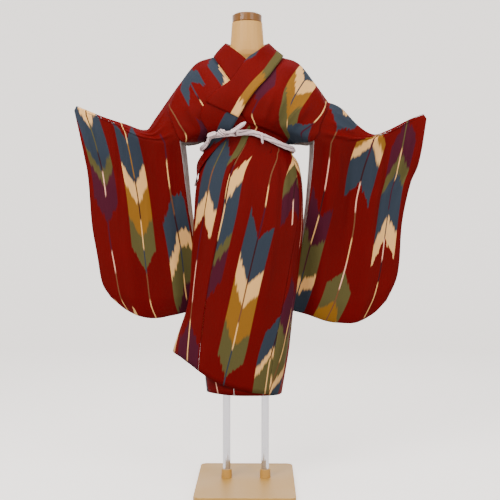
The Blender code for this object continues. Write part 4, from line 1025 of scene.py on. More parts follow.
def show_lining(lining, sleeve, rings):
    """Draws the lining's back cloth out past the sleeve's open inner edge, so that a narrow strip shows."""
    finder = KDTree(len(sleeve.vertices))
    for vertex in sleeve.vertices:
        finder.insert(vertex.co, vertex.index)
    finder.balance()
    for place in range(len(rings[0]) - len(SLEEVE_SHARES), len(rings[0]) - 1):
        inward = (rings[0][place] - rings[INWARD_RING][place]).normalized()
        for ring in range(REVEAL_RINGS):
            index = finder.find(rings[ring][place])[1]
            lining.vertices[index].co += inward * LINING_REVEAL * (1 - ring / REVEAL_RINGS)

# %% [markdown]
# The pattern is a large arrow-feather weave. Bundles of warp thread are dyed in lengths before weaving, so
# every colour change runs along the threads and ends in a ragged, slanting edge. It is built as a maker
# would draw it up: columns of feathers, each with its shaft, the places where its colours change, and the
# way it points. The chart is given in whole and half centimetres of flat cloth.

# %% A small wrapper for shader maths


class Val:
    """A number inside a material, so that its maths reads as plain expressions."""

    def __init__(self, look, socket):
        self.look, self.socket = look, socket

    def __add__(self, other):
        return self.look.calc("ADD", self, other)

    def __sub__(self, other):
        return self.look.calc("SUBTRACT", self, other)

    def __mul__(self, other):
        return self.look.calc("MULTIPLY", self, other)

    def __abs__(self):
        return self.look.calc("ABSOLUTE", self)


class Look:
    """A material with one Principled shader, built from expressions."""

    def __init__(self, name, **settings):
        self.material = bpy.data.materials.new(name)
        self.material.use_nodes = True
        self.tree = self.material.node_tree
        self.shader = next(node for node in self.tree.nodes if node.type == "BSDF_PRINCIPLED")
        for key, value in settings.items():
            self.shader.inputs[key.replace("_", " ")].default_value = value

    def feed(self, socket, value):
        if isinstance(value, Val):
            self.tree.links.new(value.socket, socket)
        elif value is not None:
            socket.default_value = value

    def node(self, kind, output=0, settings=None, **values):
        made = self.tree.nodes.new(kind)
        for key, value in (settings or {}).items():
            setattr(made, key, value)
        for key, value in values.items():
            self.feed(made.inputs[key.replace("_", " ")], value)
        return Val(self, made.outputs[output])

    def calc(self, operation, *values):
        made = self.tree.nodes.new("ShaderNodeMath")
        made.operation = operation
        for place, value in enumerate(values):
            self.feed(made.inputs[place], value)
        return Val(self, made.outputs[0])

    def flat(self):
        """How far across and how far down the flat cloth this place is, in metres."""
        places = self.node("ShaderNodeUVMap", settings={"uv_map": FLAT_MAP})
        parts = self.tree.nodes.new("ShaderNodeSeparateXYZ")
        self.feed(parts.inputs[0], places)
        return Val(self, parts.outputs[0]), Val(self, parts.outputs[1])

    def place(self, x, y, z=0.0):
        return self.node("ShaderNodeCombineXYZ", X=x, Y=y, Z=z)

    def noise(self, where, scale, detail=2.0, rough=0.5):
        return self.node("ShaderNodeTexNoise", Vector=where, Scale=scale, Detail=detail, Roughness=rough)

    def ease(self, value, low, high, to_low=0.0, to_high=1.0):
        made = self.tree.nodes.new("ShaderNodeMapRange")
        made.interpolation_type = "SMOOTHSTEP"
        for place, number in enumerate((value, low, high, to_low, to_high)):
            self.feed(made.inputs[place], number)
        return Val(self, made.outputs[0])

    def ramp(self, value, stops):
        """The colour and the strength at this value, from stops of (place, colour with its strength)."""
        made = self.tree.nodes.new("ShaderNodeValToRGB")
        self.feed(made.inputs[0], value)
        steps = made.color_ramp.elements
        for place, colour in stops[1:-1]:
            steps.new(place).color = colour
        steps[0].position, steps[0].color = stops[0]
        steps[-1].position, steps[-1].color = stops[-1]
        return Val(self, made.outputs[0]), Val(self, made.outputs[1])

    def curve(self, value, points):
        """A smooth line through points, both of whose numbers lie from 0 to 1."""
        made = self.tree.nodes.new("ShaderNodeFloatCurve")
        self.feed(made.inputs["Value"], value)
        line = made.mapping.curves[0]
        for extra in points[2:]:
            line.points.new(*extra)
        for point, place in zip(line.points, sorted(points)):
            point.location = place
            point.handle_type = "AUTO"
        made.mapping.update()
        return Val(self, made.outputs[0])

    def mix(self, share, first, second):
        made = self.tree.nodes.new("ShaderNodeMix")
        made.data_type = "RGBA"
        for place, value in ((0, share), (6, first), (7, second)):
            self.feed(made.inputs[place], value)
        return Val(self, made.outputs[2])

    def colour(self, value):
        self.feed(self.shader.inputs["Base Color"], value)

    def own_space(self):
        """Places in the object's own space, in metres."""
        return self.node("ShaderNodeTexCoord", output=3)

    def tinted(self, where, scale, detail, dark, light):
        """Gives the shader two colours mixed by soft noise, and returns that noise."""
        tone = self.noise(where, scale, detail)
        self.colour(self.mix(tone, (*dark, 1), (*light, 1)))
        return tone

    def bump(self, height, distance, strength):
        made = self.node("ShaderNodeBump", Height=height, Distance=distance, Strength=strength)
        self.feed(self.shader.inputs["Normal"], made)


# %% Dyes and feather columns
DYES = {
    "slate": (0.0260, 0.0350, 0.0500),
    "olive": (0.0880, 0.0720, 0.0220),
    "ochre": (0.2500, 0.1050, 0.0100),
    "cream": (0.8000, 0.4300, 0.1450),
    "purple": (0.0560, 0.0050, 0.0150),
    "brown": (0.1500, 0.0560, 0.0220),
    "dark": (0.0300, 0.0050, 0.0070),
    "pink": (0.8800, 0.4300, 0.2900),
}
FEATHER_HALF = 0.042
SHAFT_HALF = 0.0021
BARB_SLOPE = 1.75
BAND_BLUR = 0.006
END_BLUR = 0.0025
EDGE_BLUR = 0.0016
SHAFT_EDGE = (0.7, 1.3)
TOUCHING = 1e-6
# How ragged the dye's ends are: by thread bundles, by loose threads as a share of that, and along a shaft
RAGGED, LOOSE_SHARE, SHAFT_RAGGED = 0.014, 1.6, 0.4
BUNDLES = 210.0
LOOSE_THREADS = (120.0, 6.0)
WEAVE = 900.0
CRINKLE = (160.0, 90.0)
CREPE_DARK, CREPE_LIGHT = (0.096, 0.0001, 0.0003), (0.130, 0.0002, 0.0006)
MARGIN = 0.12
BACK_SHAFT = "-120 brown -102 cream -84 dark -64 pink -44 purple -24 cream -11"
BACK_SHAFT_TWO = "-120 pink -106 purple -90 brown -66 cream -50 dark -30 brown -11"
SLEEVE_SHAFT = "-72 cream -60 purple -46 dark -30 pink -16 brown 0"
FEATHERS = {
    # each column: its shaft's places across and down, the way it points, the feather's dyes, the shaft's dyes
    "body_left": (
        (((0, 39), (0.5, 55), (0, 75)), "down",
         "50 cream 58 slate 75 olive 80 purple 91",
         "38 brown 46 purple 50 dark 59 cream 71 dark 81 olive 91"),
        (((10.5, 33), (13, 43), (12.5, 76), (12, 97), (10, 113)), "down",
         "66 slate 81 cream 89 ochre 103 olive 114",
         "34 brown 48 cream 55 purple 66 dark 81 brown 95 cream 104 slate 117"),
        (((25.5, 93), (24, 101), (23.5, 110)), "up",
         "85 slate 97 cream 100 olive 114", "60 pink 71 brown 83 cream 92 dark 101 cream 113"),
        (((22.5, 44), (23.5, 54)), "up", "22 cream 33 olive 42 purple 51", "33 cream 41 dark 49 pink 57"),
        (((1, 17), (3.5, 23), (3.5, 27), (1.5, 34)), "down", "0 purple 23", "11 purple 27 cream 35"),
        (((11.5, 3), (12, 14), (15, 21)), "down",
         "-3 slate 5 cream 13 ochre 21 olive 31", "-3 slate 17 ochre 22 cream 26"),
        (((22, 5), (23, 15), (21, 21)), "up", "15 slate 25", "1 cream 14 purple 21"),
        (((5, -120), (5, -5)), "down",
         "-116 cream -103 ochre -91 olive -79 plain -60 slate -45 cream -37 purple -27", BACK_SHAFT),
        (((16, -120), (16.5, -5)), "up",
         "-102 slate -88 cream -80 olive -68 plain -46 purple -35 olive -26 slate -18", BACK_SHAFT_TWO),
        (((25, -120), (26, -30), (27, -10)), "up",
         "-119 slate -113 cream -109 olive -95 purple -81 plain -42 cream -30 olive -16", BACK_SHAFT),
    ),
    "body_right": (
        (((12, 7), (13, 14), (13.5, 21)), "up", "-3 slate 6", "-3 slate 13 dark 15 cream 23 brown 25"),
        (((22.5, 7), (23.5, 13), (23.5, 18)), "down", "", "3 brown 18 cream 20"),
        (((-1, -6), (0, 10), (0.5, 20)), "up", "-3 slate 9 cream 12", ""),
        (((-3, -3), (-2.5, 20)), "up", "0 cream 15", ""),
        (((13.5, 20), (14, 30)), "down", "26 purple 34", ""),
        (((13, 36), (12, 116)), "down",
         "42 cream 54 slate 66 purple 76 plain 92 olive 102 ochre 112",
         "34 purple 50 cream 72 dark 92 pink 116"),
        (((23, 36), (20.5, 116)), "up",
         "36 purple 46 olive 56 plain 74 slate 86 cream 95 olive 106",
         "34 dark 56 cream 74 brown 96 purple 116"),
        (((5, -120), (5, -5)), "up",
         "-112 slate -100 cream -91 olive -78 plain -50 purple -38 olive -29 ochre -18", BACK_SHAFT_TWO),
        (((16, -120), (17, -5)), "down",
         "-118 cream -109 slate -95 purple -84 plain -64 cream -55 ochre -41 olive -29", BACK_SHAFT),
        (((25, -120), (26.5, -10)), "up",
         "-106 olive -95 cream -86 slate -73 plain -40 purple -29 olive -20", BACK_SHAFT_TWO),
    ),
    "overlap_left": (
        (((6.5, 13), (6, 20), (6.5, 47), (5, 75)), "up",
         "8 slate 27 cream 35 plain 70 purple 85",
         "10 olive 19 brown 27 dark 40 purple 51 pink 64 brown 70 cream 83"),
        (((-2, 0), (-2.5, 40)), "up", "0 olive 11", ""),
        (((15, 42), (15, 86)), "up", "56 ochre 70 cream 79", ""),
    ),
    "overlap_right": (
        (((6, 0), (6, 85)), "down",
         "8 cream 20 slate 34 purple 44 plain 62 olive 72 ochre 82", "0 dark 30 cream 50 pink 80"),
    ),
    "collar": (
        (((0, 10), (0, 120)), "up", "80 slate 95", ""),
    ),
    "over_collar": (
        (((-1.5, 0), (-1.5, 80)), "down", "47 olive 68 ochre 80 cream 98", ""),
        (((12.5, 0), (12.5, 80)), "down", "40 slate 60", ""),
    ),
    "sleeve_left": (
        (((30, 1), (29, 18), (30, 41), (28, 61)), "up",
         "0 purple 11 olive 17 slate 33 cream 41",
         "-1 olive 10 cream 20 purple 31 slate 41 pink 48 dark 55 cream 67"),
        (((19, 3), (16.5, 20), (17.5, 38), (14.5, 60)), "up",
         "-1 ochre 2 cream 6 slate 19 plain 49 olive 60 ochre 71",
         "0 purple 11 dark 19 pink 29 brown 38 cream 46 pink 56 brown 69"),
        (((6, 12), (5, 35), (2, 64)), "down",
         "-2 cream 2 slate 10 plain 41 purple 53 olive 66 cream 71 slate 81",
         "10 brown 20 pink 31 dark 41 cream 52 purple 62 slate 72"),
        (((6, -72), (6, 0)), "down", "-68 olive -57 cream -47 slate -33 plain -14 purple -4", SLEEVE_SHAFT),
        (((17.5, -72), (18, 0)), "up", "-60 purple -48 olive -40 ochre -26", SLEEVE_SHAFT),
        (((29, -72), (29.5, 0)), "down",
         "-70 cream -61 slate -49 purple -37 plain -20 olive -8", SLEEVE_SHAFT),
    ),
    "sleeve_right": (
        (((32, 1), (30.5, 14), (30, 50)), "down",
         "-3 cream 6 slate 21 olive 26 purple 38 plain 73 cream 81",
         "-4 dark 4 olive 14 dark 21 pink 29 purple 48 pink 55 brown 65 cream 71"),
        (((18, 8), (17.5, 36), (18.5, 66)), "down",
         "8 slate 23 cream 30 ochre 41 olive 52",
         "-2 cream 9 ochre 21 dark 35 cream 45 slate 53 brown 62 cream 71"),
        (((5.5, 10), (6, 22), (5, 50), (5.5, 65)), "up",
         "29 slate 42 cream 48 olive 60 purple 70",
         "8 purple 17 cream 26 brown 36 dark 47 slate 57 cream 65 purple 70"),
        (((6, -72), (6, 0)), "up", "-64 slate -52 cream -43 olive -30", SLEEVE_SHAFT),
        (((17.5, -72), (18, 0)), "down",
         "-70 olive -58 ochre -47 cream -35 plain -16 slate -5", SLEEVE_SHAFT),
        (((29, -72), (29.5, 0)), "up", "-56 purple -45 olive -36 slate -22", SLEEVE_SHAFT),
    ),
}


def dyes(note):
    """The dyed stretches of a chart note in centimetres, as rows of start, end and dye in metres."""
    words = note.split()
    places = [float(word) / 100 for word in words[::2]]
    return [row for row in zip(places, places[1:], words[1::2]) if row[2] != "plain"]


def band_stops(bands, place_of):
    """Ramp stops for bands of dye that may touch or leave bare ground between them."""
    stops = []
    for i, (start, end, dye) in enumerate(bands):
        colour = DYES[dye]
        joined = i > 0 and abs(bands[i - 1][1] - start) < TOUCHING
        follows = i + 1 < len(bands) and abs(bands[i + 1][0] - end) < TOUCHING
        if not joined:
            stops.append((place_of(start - END_BLUR), (*colour, 0.0)))
        stops.append((place_of(start + (BAND_BLUR if joined else END_BLUR)), (*colour, 1.0)))
        stops.append((place_of(end - (BAND_BLUR if follows else END_BLUR)), (*colour, 1.0)))
        if not follows:
            stops.append((place_of(end + END_BLUR), (*colour, 0.0)))
    return stops


def dyed(look, along, bands):
    """The colour and the strength of these bands of dye at this place along them."""
    start, end = bands[0][0] - BAND_BLUR, bands[-1][1] + BAND_BLUR
    stops = band_stops(bands, lambda at: (at - start) / (end - start))
    return look.ramp((along - start) * (1 / (end - start)), stops)


def run_on(near, far, down):
    """The place this far down on the straight line from far through near."""
    return (near[0] + (near[0] - far[0]) / (near[1] - far[1]) * (down - near[1]), down)


def feather_column(look, ground, u, v, ragged, shaft, way, bands, marks):
    """Lays one column of feathers over the ground. shaft holds its line, and marks its shaft's dyes."""
    low_v, high_v = shaft[0][1] - MARGIN, shaft[-1][1] + MARGIN
    low_u = min(place[0] for place in shaft) - MARGIN
    wide = max(place[0] for place in shaft) + MARGIN - low_u
    tall = high_v - low_v
    line = [run_on(shaft[0], shaft[1], low_v), *shaft, run_on(shaft[-1], shaft[-2], high_v)]
    points = [((place[1] - low_v) / tall, (place[0] - low_u) / wide) for place in line]
    middle = look.curve((v - low_v) * (1 / tall), points) * wide + low_u
    away = abs(u - middle)
    slant = away * BARB_SLOPE + ragged
    if bands and way == "down":
        colour, strength = dyed(look, slant + v, sorted(bands))
    elif bands:
        colour, strength = dyed(look, slant - v, sorted((-end, -start, dye) for start, end, dye in bands))
    if bands:
        inside = look.ease(away, FEATHER_HALF, FEATHER_HALF + EDGE_BLUR, 1.0, 0.0)
        ground = look.mix(strength * inside, ground, colour)
    if marks:
        colour, strength = dyed(look, v + ragged * SHAFT_RAGGED, marks)
        inside = look.ease(away, SHAFT_HALF * SHAFT_EDGE[0], SHAFT_HALF * SHAFT_EDGE[1], 1.0, 0.0)
        ground = look.mix(strength * inside, ground, colour)
    return ground


def crepe_material(name):
    """The patterned crepe of one piece."""
    look = Look("crepe_" + name, Roughness=0.7, Specular_IOR_Level=0.06)
    u, v = look.flat()
    bundle = look.calc("FLOOR", u * BUNDLES)
    stepped = look.node("ShaderNodeTexWhiteNoise", settings={"noise_dimensions": "1D"}, W=bundle)
    loose = look.noise(look.place(u * LOOSE_THREADS[0], v * LOOSE_THREADS[1], 3.0), 1.0, 1.0)
    ragged = (stepped - 0.5) * RAGGED + (loose - 0.5) * (RAGGED * LOOSE_SHARE)
    ground = look.mix(look.noise(look.own_space(), 9.0, 3.0), (*CREPE_DARK, 1.0), (*CREPE_LIGHT, 1.0))
    for shaft, way, bands, marks in FEATHERS.get(name, ()):
        line = [(across / 100, down / 100) for across, down in shaft]
        ground = feather_column(look, ground, u, v, ragged, line, way, dyes(bands), dyes(marks))
    look.colour(ground)
    weave = look.noise(look.place(u * WEAVE, v * WEAVE), 1.0, 2.0)
    crinkle = look.noise(look.place(u * CRINKLE[0], v * CRINKLE[1], 7.0), 1.0, 2.0)
    look.bump(weave * 0.5 + crinkle, 0.0007, 0.5)
    return look.material


# %% [markdown]
# The lining is plain white silk. It shows as a narrow strip at the open inner edge of each sleeve, and
# inside.

# %% White cloths
lining_look = Look("white_lining", Roughness=0.55, Specular_IOR_Level=0.25, Sheen_Weight=0.1)
lining_look.tinted(lining_look.own_space(), 14.0, 3.0, (0.86, 0.80, 0.78), (0.95, 0.90, 0.88))
white_lining = lining_look.material

sash_look = Look("white_sash", Roughness=0.8, Specular_IOR_Level=0.15, Sheen_Weight=0.25, Sheen_Roughness=0.5)
where = sash_look.own_space()
cloth = sash_look.mix(sash_look.noise(where, 60.0, 3.0), (0.66, 0.48, 0.48, 1), (0.84, 0.65, 0.64, 1))
# Painted shade: the sash's colour darkens to a dark pinkish brown in the grooves between its strands, where
# shade falls.
hollow_for_painted_shade = sash_look.node("ShaderNodeAttribute", output=2, settings={"attribute_name": "hollow_for_painted_shade"})
sash_look.colour(sash_look.mix(sash_look.ease(hollow_for_painted_shade, -0.02, 0.07), cloth, (0.16, 0.09, 0.10, 1)))
sash_look.bump(sash_look.noise(where, 240.0, 3.0), 0.0012, 0.6)
white_sash = sash_look.material
print("materials:", white_lining.name, white_sash.name)

# %% [markdown]
# Each sheet becomes a thin wall that keeps two numbers for every point: how far across its cloth and how
# far down the point lies, in metres. The woven pattern is laid out in those, so it bends with the cloth as
# threads do. The inside is white, because the garment is lined.

# %% Making the cloth pieces
FLAT_MAP = "flat"
SLEEVE_WIDTH = 0.36
LINING_REVEAL = 0.007
WELD = 1e-6


def cloth_places(rows, ridge):
    """Where each point lies in the flat cloth: across from its first column, and down from the ridge row."""
    grid = np.array([[tuple(point) for point in row] for row in rows])
    across = np.cumsum(np.linalg.norm(np.diff(grid, axis=1), axis=2), axis=1)
    across = np.concatenate([np.zeros((len(rows), 1)), across], axis=1)
    down = np.cumsum(np.linalg.norm(np.diff(grid, axis=0), axis=2), axis=0)
    down = np.concatenate([np.zeros((1, grid.shape[1])), down])
    return across, down[ridge] - down


def cloth_object(name, rows, places, outward=None):
    """A sheet through rows of points, its faces turned away from outward, or else from the upright axis."""
    across, down = places
    made = bmesh.new()
    flat = made.loops.layers.uv.new(FLAT_MAP)
    placed = [[made.verts.new(point) for point in row] for row in rows]
    for i in range(len(rows) - 1):
        for j in range(len(rows[0]) - 1):
            corners = ((i, j), (i, j + 1), (i + 1, j + 1), (i + 1, j))
            face = made.faces.new([placed[a][b] for a, b in corners])
            face.smooth = True
            for loop, (a, b) in zip(face.loops, corners):
                loop[flat].uv = (across[a][b], down[a][b])
    bmesh.ops.remove_doubles(made, verts=made.verts, dist=WELD)
    made.normal_update()
    facing = 0.0
    for face in made.faces:
        centre = face.calc_center_median()
        away = centre - (outward or Vector((CENTRE_X, 0.0, centre.z)))
        facing += face.normal.dot(away) * face.calc_area()
    if facing < 0:
        bmesh.ops.reverse_faces(made, faces=made.faces)
    mesh = bpy.data.meshes.new(name)
    made.to_mesh(mesh)
    made.free()
    thing = bpy.data.objects.new(name, mesh)
    bpy.context.scene.collection.objects.link(thing)
    return thing


def give_wall(thing, thickness, outside, inside):
    """Makes the sheet a thin wall with one finish outside and another inside."""
    thing.data.materials.append(outside)
    thing.data.materials.append(inside)
    solid = thing.modifiers.new("wall", "SOLIDIFY")
    solid.thickness = thickness
    solid.offset = 0.0
    solid.use_even_offset = False
    solid.material_offset = 1


def mean_run(rows):
    return sum((b - a).length for row in rows for a, b in zip(row, row[1:])) / len(rows)


def declare(thing, rows, node):
    """Ties the piece to the frame, and states the flat cut of the cloth that shows."""
    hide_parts(node)
    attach(thing, "root")
    flat = (round(mean_run(rows), 3), round(mean_run(list(zip(*rows))), 3))
    print(f"{thing.name}: flat {flat[0]:.3f} by {flat[1]:.3f} m, {len(thing.data.polygons)} faces")


# %% The kimono's pieces
kimono = kimono_sheets()
RIDGE_ROW = SKIRT_ROWS + BODICE_FRONT_ROWS
for name, rows in kimono.items():
    places = cloth_places(rows, RIDGE_ROW if name.startswith("body") else 0)
    if not name.startswith("body"):
        places = (places[0], -places[1])
    thing = cloth_object("cloth_" + name, rows, places)
    thickness = COLLAR_WALL if name == "collar" else BODY_WALL
    give_wall(thing, thickness, crepe_material(name), white_lining)
    held = "hung" if "overlap" in name else "draped"
    rests = ("cloth_body_left",) if "collar" in name else ("form_torso",)
    declare(thing, rows, name)

# %% The sleeves
for side, layer, tables in (
    ("left", "over", (SLEEVE_TOP_LEFT, FURI_LEFT, OUTER_LEFT, BOTTOM_LEFT)),
    ("right", "under", (SLEEVE_TOP_RIGHT, FURI_RIGHT, OUTER_RIGHT, BOTTOM_RIGHT)),
):
    rings = sleeve_rings(tables, layer)
    middle = sum((point for ring in rings for point in ring), Vector()) / sum(len(ring) for ring in rings)
    turned = [list(line) for line in zip(*rings)]
    fold = len(SLEEVE_SHARES) + len(ROLL_SHARES)
    _, down = cloth_places(turned, fold)
    across = np.tile(np.array(SLEEVE_STATIONS) * SLEEVE_WIDTH, (len(turned), 1))
    thing = cloth_object("cloth_sleeve_" + side, turned, (across, down), outward=middle)
    inner = moved_out(thing.data, -(SLEEVE_WALL / 2 + LAYER_GAP + LINING_WALL / 2))
    inner.name = "cloth_sleeve_lining_" + side
    show_lining(inner, thing.data, rings)
    give_wall(thing, SLEEVE_WALL, crepe_material("sleeve_" + side), white_lining)
    declare(thing, turned, "sleeve_" + side)
    lining = bpy.data.objects.new("cloth_sleeve_lining_" + side, inner)
    bpy.context.scene.collection.objects.link(lining)
    give_wall(lining, LINING_WALL, white_lining, white_lining)
    declare(lining, turned, "sleeve_lining_" + side)

# %% [markdown]
# The sash is a soft white strip, twisted as it goes round, tied in front and with its ends tucked away.
# Lobes that wind round a soft oval give the look of twisted cloth without modelling each wrap.

# %% Sash
STRAND_SIGHT, STRAND_LEAST = -0.2, 0.5
# Fine wrinkles and longer ones: how often they go round, how fast they turn and how they swell along the sash
FINE_ROUND, FINE_TURN = 7, 5
LONG_ROUND, LONG_TURN, LONG_SWELL = 3, 11, 2.3
BAND_AHEAD = math.radians(2)
KNOT_SIDES, KNOT_RINGS = 72, 48
KNOT_SOFT, KNOT_SKEW = 0.7, 3
END_LOOK, END_ROUND, END_LEAST, END_STEPS = 0.02, 6, 0.12, 8
END_UP = Vector((0, 0.2, 1))
# The loose ends' lines, each out from where it leaves the knot or the band
TAIL_RIGHT = ((0.0, 0.0, 0.0), (-0.016, 0.004, -0.004), (-0.030, 0.010, -0.009))
TAIL_LEFT = ((0.0, 0.0, 0.0), (0.020, -0.002, 0.012), (0.050, -0.001, 0.034))
TUCK = ((0.0, 0.0, 0.0), (0.001, 0.001, -0.014), (0.003, 0.003, -0.030))
TUCK_SHARE = 0.8
SASH_STRIP = 0.060
# How often the groove depth that drives the sash's painted shade is averaged with its neighbours
PAINTED_SHADE_BLUR = 2


def tree_and_marks(meshes):
    """A search tree over closed pieces, and their points."""
    points, faces = [], []
    for mesh in meshes:
        mesh.calc_loop_triangles()
        start = len(points)
        faces += [tuple(start + i for i in triangle.vertices) for triangle in mesh.loop_triangles]
        points += [vertex.co.copy() for vertex in mesh.vertices]
    return BVHTree.FromPolygons(points, faces), points


def seated(mesh, below, marks, inward, gap):
    """Moves a closed piece inward until it lies this gap from what it rests on."""
    own_tree, own_marks = tree_and_marks([mesh])
    room = [below.ray_cast(mark, inward, SEAT_REACH)[3] for mark in own_marks]
    room += [own_tree.ray_cast(mark, -inward, SEAT_REACH)[3] for mark in marks]
    room = [distance for distance in room if distance is not None]
    if room:
        mesh.transform(Matrix.Translation(inward * (min(room) - gap)))


def strand_reach(angle, turn):
    """How far the outline of the twisted strands reaches from their middle, as a share of the whole."""
    round_part = 1 - STRAND_OUT
    reach = 0.0
    for strand in range(STRANDS):
        away = angle - turn - 2 * math.pi * strand / STRANDS
        room = round_part**2 - (STRAND_OUT * math.sin(away)) ** 2
        if room > 0 and math.cos(away) > STRAND_SIGHT:
            reach = max(reach, STRAND_OUT * math.cos(away) + math.sqrt(room))
    return max(reach, STRAND_LEAST)


def sash_section(centre, along, up, tall, deep, turn):
    """A soft oval round the sash's middle line. turn twists the oval."""
    along = along.normalized()
    side = up.cross(along).normalized()
    up = along.cross(side)
    ring = []
    for k in range(BAND_SIDES):
        angle = 2 * math.pi * k / BAND_SIDES
        swell = strand_reach(angle, 0.5 * turn) + WRINKLE * math.cos(FINE_ROUND * angle + FINE_TURN * turn)
        swell += WRINKLE * math.sin(LONG_ROUND * angle + LONG_TURN * turn) * math.sin(LONG_SWELL * turn)
        lift, reach = tall / 2 * math.cos(angle) * swell, deep / 2 * math.sin(angle) * swell
        ring.append(centre + up * lift + side * reach)
    return ring


def outward(angle):
    """The level way out from the upright axis at this angle."""
    return Vector((math.sin(angle), -math.cos(angle), 0.0))


def band_middle(angle):
    """The middle of the sash at this angle, just clear of the cloth that it ties."""
    height = look_up(BAND, BAND_COLUMNS, "height", math.degrees(angle))
    reach = 0.0
    for turn in (-BAND_LOOK, 0.0, BAND_LOOK):
        out = outward(angle + turn)
        for level in spread(height - BAND_TALL / 2, height + BAND_TALL / 2, 4):
            core = Vector((CENTRE_X, 0.0, level))
            near = (skirt_point(level, angle + turn, "over") - core).length
            found = meeting(core + out * near, tied_cloth)
            if found is not None:
                reach = max(reach, near + found[0])
    reach += COLLAR_WALL / 2 + BAND_CLEAR + BAND_DEEP / 2 * (1 + BAND_SWELL)
    return Vector((CENTRE_X, 0.0, height)) + outward(angle) * reach


def sash_band():
    """The band round the waist, a closed ring of twisted strands."""
    rings = []
    for k in range(BAND_STEPS):
        angle = -math.pi + 2 * math.pi * k / BAND_STEPS
        along = band_middle(min(angle + BAND_AHEAD, math.pi)) - band_middle(max(angle - BAND_AHEAD, -math.pi))
        turn = math.pi * BAND_TWISTS * k / BAND_STEPS
        rings.append(sash_section(band_middle(angle), along, Vector((0, 0, 1)), BAND_TALL, BAND_DEEP, turn))
    closed = [ring + [ring[0]] for ring in rings]
    mesh = grid_mesh("cloth_belt_band", closed, around=True)
    finish_closed(mesh)
    link("cloth_belt_band", mesh)
    return mesh


def finish_closed(mesh):
    """Turns the faces of a closed mesh outwards."""
    made = bmesh.new()
    made.from_mesh(mesh)
    if made.calc_volume(signed=True) < 0:
        bmesh.ops.reverse_faces(made, faces=made.faces)
    made.to_mesh(mesh)
    made.free()


def capped_loft(name, rings):
    """A closed body through rings of points, with its two ends filled."""
    made = bmesh.new()
    placed = [[made.verts.new(point) for point in ring] for ring in rings]
    for first, second in zip(placed, placed[1:]):
        for j in range(len(first)):
            k = (j + 1) % len(first)
            made.faces.new((first[j], first[k], second[k], second[j]))
    made.faces.new(placed[0])
    made.faces.new(placed[-1])
    bmesh.ops.recalc_face_normals(made, faces=made.faces)
    mesh = bpy.data.meshes.new(name)
    made.to_mesh(mesh)
    made.free()
    link(name, mesh)
    return mesh


def sash_end(name, points, tall, deep):
    """A loose end of the sash along a smooth line, with softly rounded ends."""
    line = [clear_of_cloth(Vector(point), deep / 2 + TAIL_CLEAR) for point in points]
    rings = []
    for share in spread(0.0, 1.0, END_STEPS):
        along = way_along(line, share, END_LOOK)
        close = math.sqrt(max(1 - abs(2 * share - 1) ** END_ROUND, END_LEAST))
        middle = spline_point(line, share)
        rings.append(sash_section(middle, along, END_UP, tall * close, deep * close, share))
    return capped_loft(name, rings)


def clear_of_cloth(point, clear):
    """The point, moved out until it is clear of the cloth."""
    found = meeting(point, tied_cloth)
    short = 0.0 if found is None else found[0] + (clear + COLLAR_WALL / 2) / found[1]
    return point + (point - core_of(point)).normalized() * max(short, 0.0)


def sash_knot():
    """The knot, a soft lump in front of the band."""
    angle = math.radians(KNOT_DEGREES)
    middle = band_middle(angle)
    out = Vector((middle.x, middle.y, 0)).normalized()
    near = [band_middle(angle + math.radians(turn)) for turn in spread(-KNOT_REACH, KNOT_REACH, 8)]
    middle += out * max(point.dot(out) - middle.dot(out) for point in near)
    centre = middle + out * (BAND_DEEP / 2 * (1 + BAND_SWELL) + KNOT_CLEAR + KNOT_DEEP / 2)
    centre.z += KNOT_RISE
    bpy.ops.mesh.primitive_uv_sphere_add(segments=KNOT_SIDES, ring_count=KNOT_RINGS, radius=0.5)
    knot = bpy.context.object
    for vertex in knot.data.vertices:
        level = vertex.co.normalized().dot(Vector(KNOT_LEAN))
        wound = abs(math.sin(math.pi * KNOT_WINDS * 0.5 * (level + 1) + KNOT_SKEW * vertex.co.x))
        vertex.co *= 1 - KNOT_GROOVE * (1 - wound**KNOT_SOFT)
    knot.name = "cloth_belt_knot"
    knot.data.name = "cloth_belt_knot"
    knot.scale = (KNOT_WIDE, KNOT_DEEP, KNOT_TALL)
    knot.rotation_euler = (0, 0, math.atan2(out.x, -out.y))
    knot.location = centre
    bpy.ops.object.transform_apply(location=True, rotation=True, scale=True)
    for collection in list(knot.users_collection):
        collection.objects.unlink(knot)
    bpy.context.scene.collection.objects.link(knot)
    knot.data.materials.append(white_sash)
    knot.data.shade_smooth()
    return centre, out, knot.data


def sash():
    """The band, the knot resting on it, and three short ends that rest on the band or the cloth."""
    band = sash_band()
    cloth = [outward_mesh("rest", rows) for rows in kimono.values()]
    walls = [moved_out(mesh, COLLAR_WALL / 2) for mesh in cloth]
    centre, out, knot = sash_knot()
    below, marks = tree_and_marks([band] + walls)
    seated(knot, below, marks, -out, SEAT_GAP)
    across = Vector((-out.y, out.x, 0))
    wide = KNOT_WIDE / 2 + TAIL_DEEP / 2
    tuck_out = outward(math.radians(TUCK_DEGREES))
    start = band_middle(math.radians(TUCK_DEGREES)) + tuck_out * KNOT_DEEP + Vector((0.0, 0.0, TUCK_RISE))
    for name, first, line, tall, facing in (
        ("cloth_belt_tail_right", centre - across * wide, TAIL_RIGHT, TAIL_TALL, out),
        ("cloth_belt_tail_left", centre + across * wide, TAIL_LEFT, TAIL_TALL, out),
        ("cloth_belt_tuck", start, TUCK, TAIL_TALL * TUCK_SHARE, tuck_out),
    ):
        points = [first + Vector(place) for place in line]
        seated(sash_end(name, points, tall, TAIL_DEEP), below, marks, -facing, SEAT_GAP)


def link(name, mesh):
    """Puts a piece of the sash in the scene, smooth and in its white finish."""
    bpy.context.scene.collection.objects.link(bpy.data.objects.new(name, mesh))
    mesh.materials.append(white_sash)
    mesh.shade_smooth()


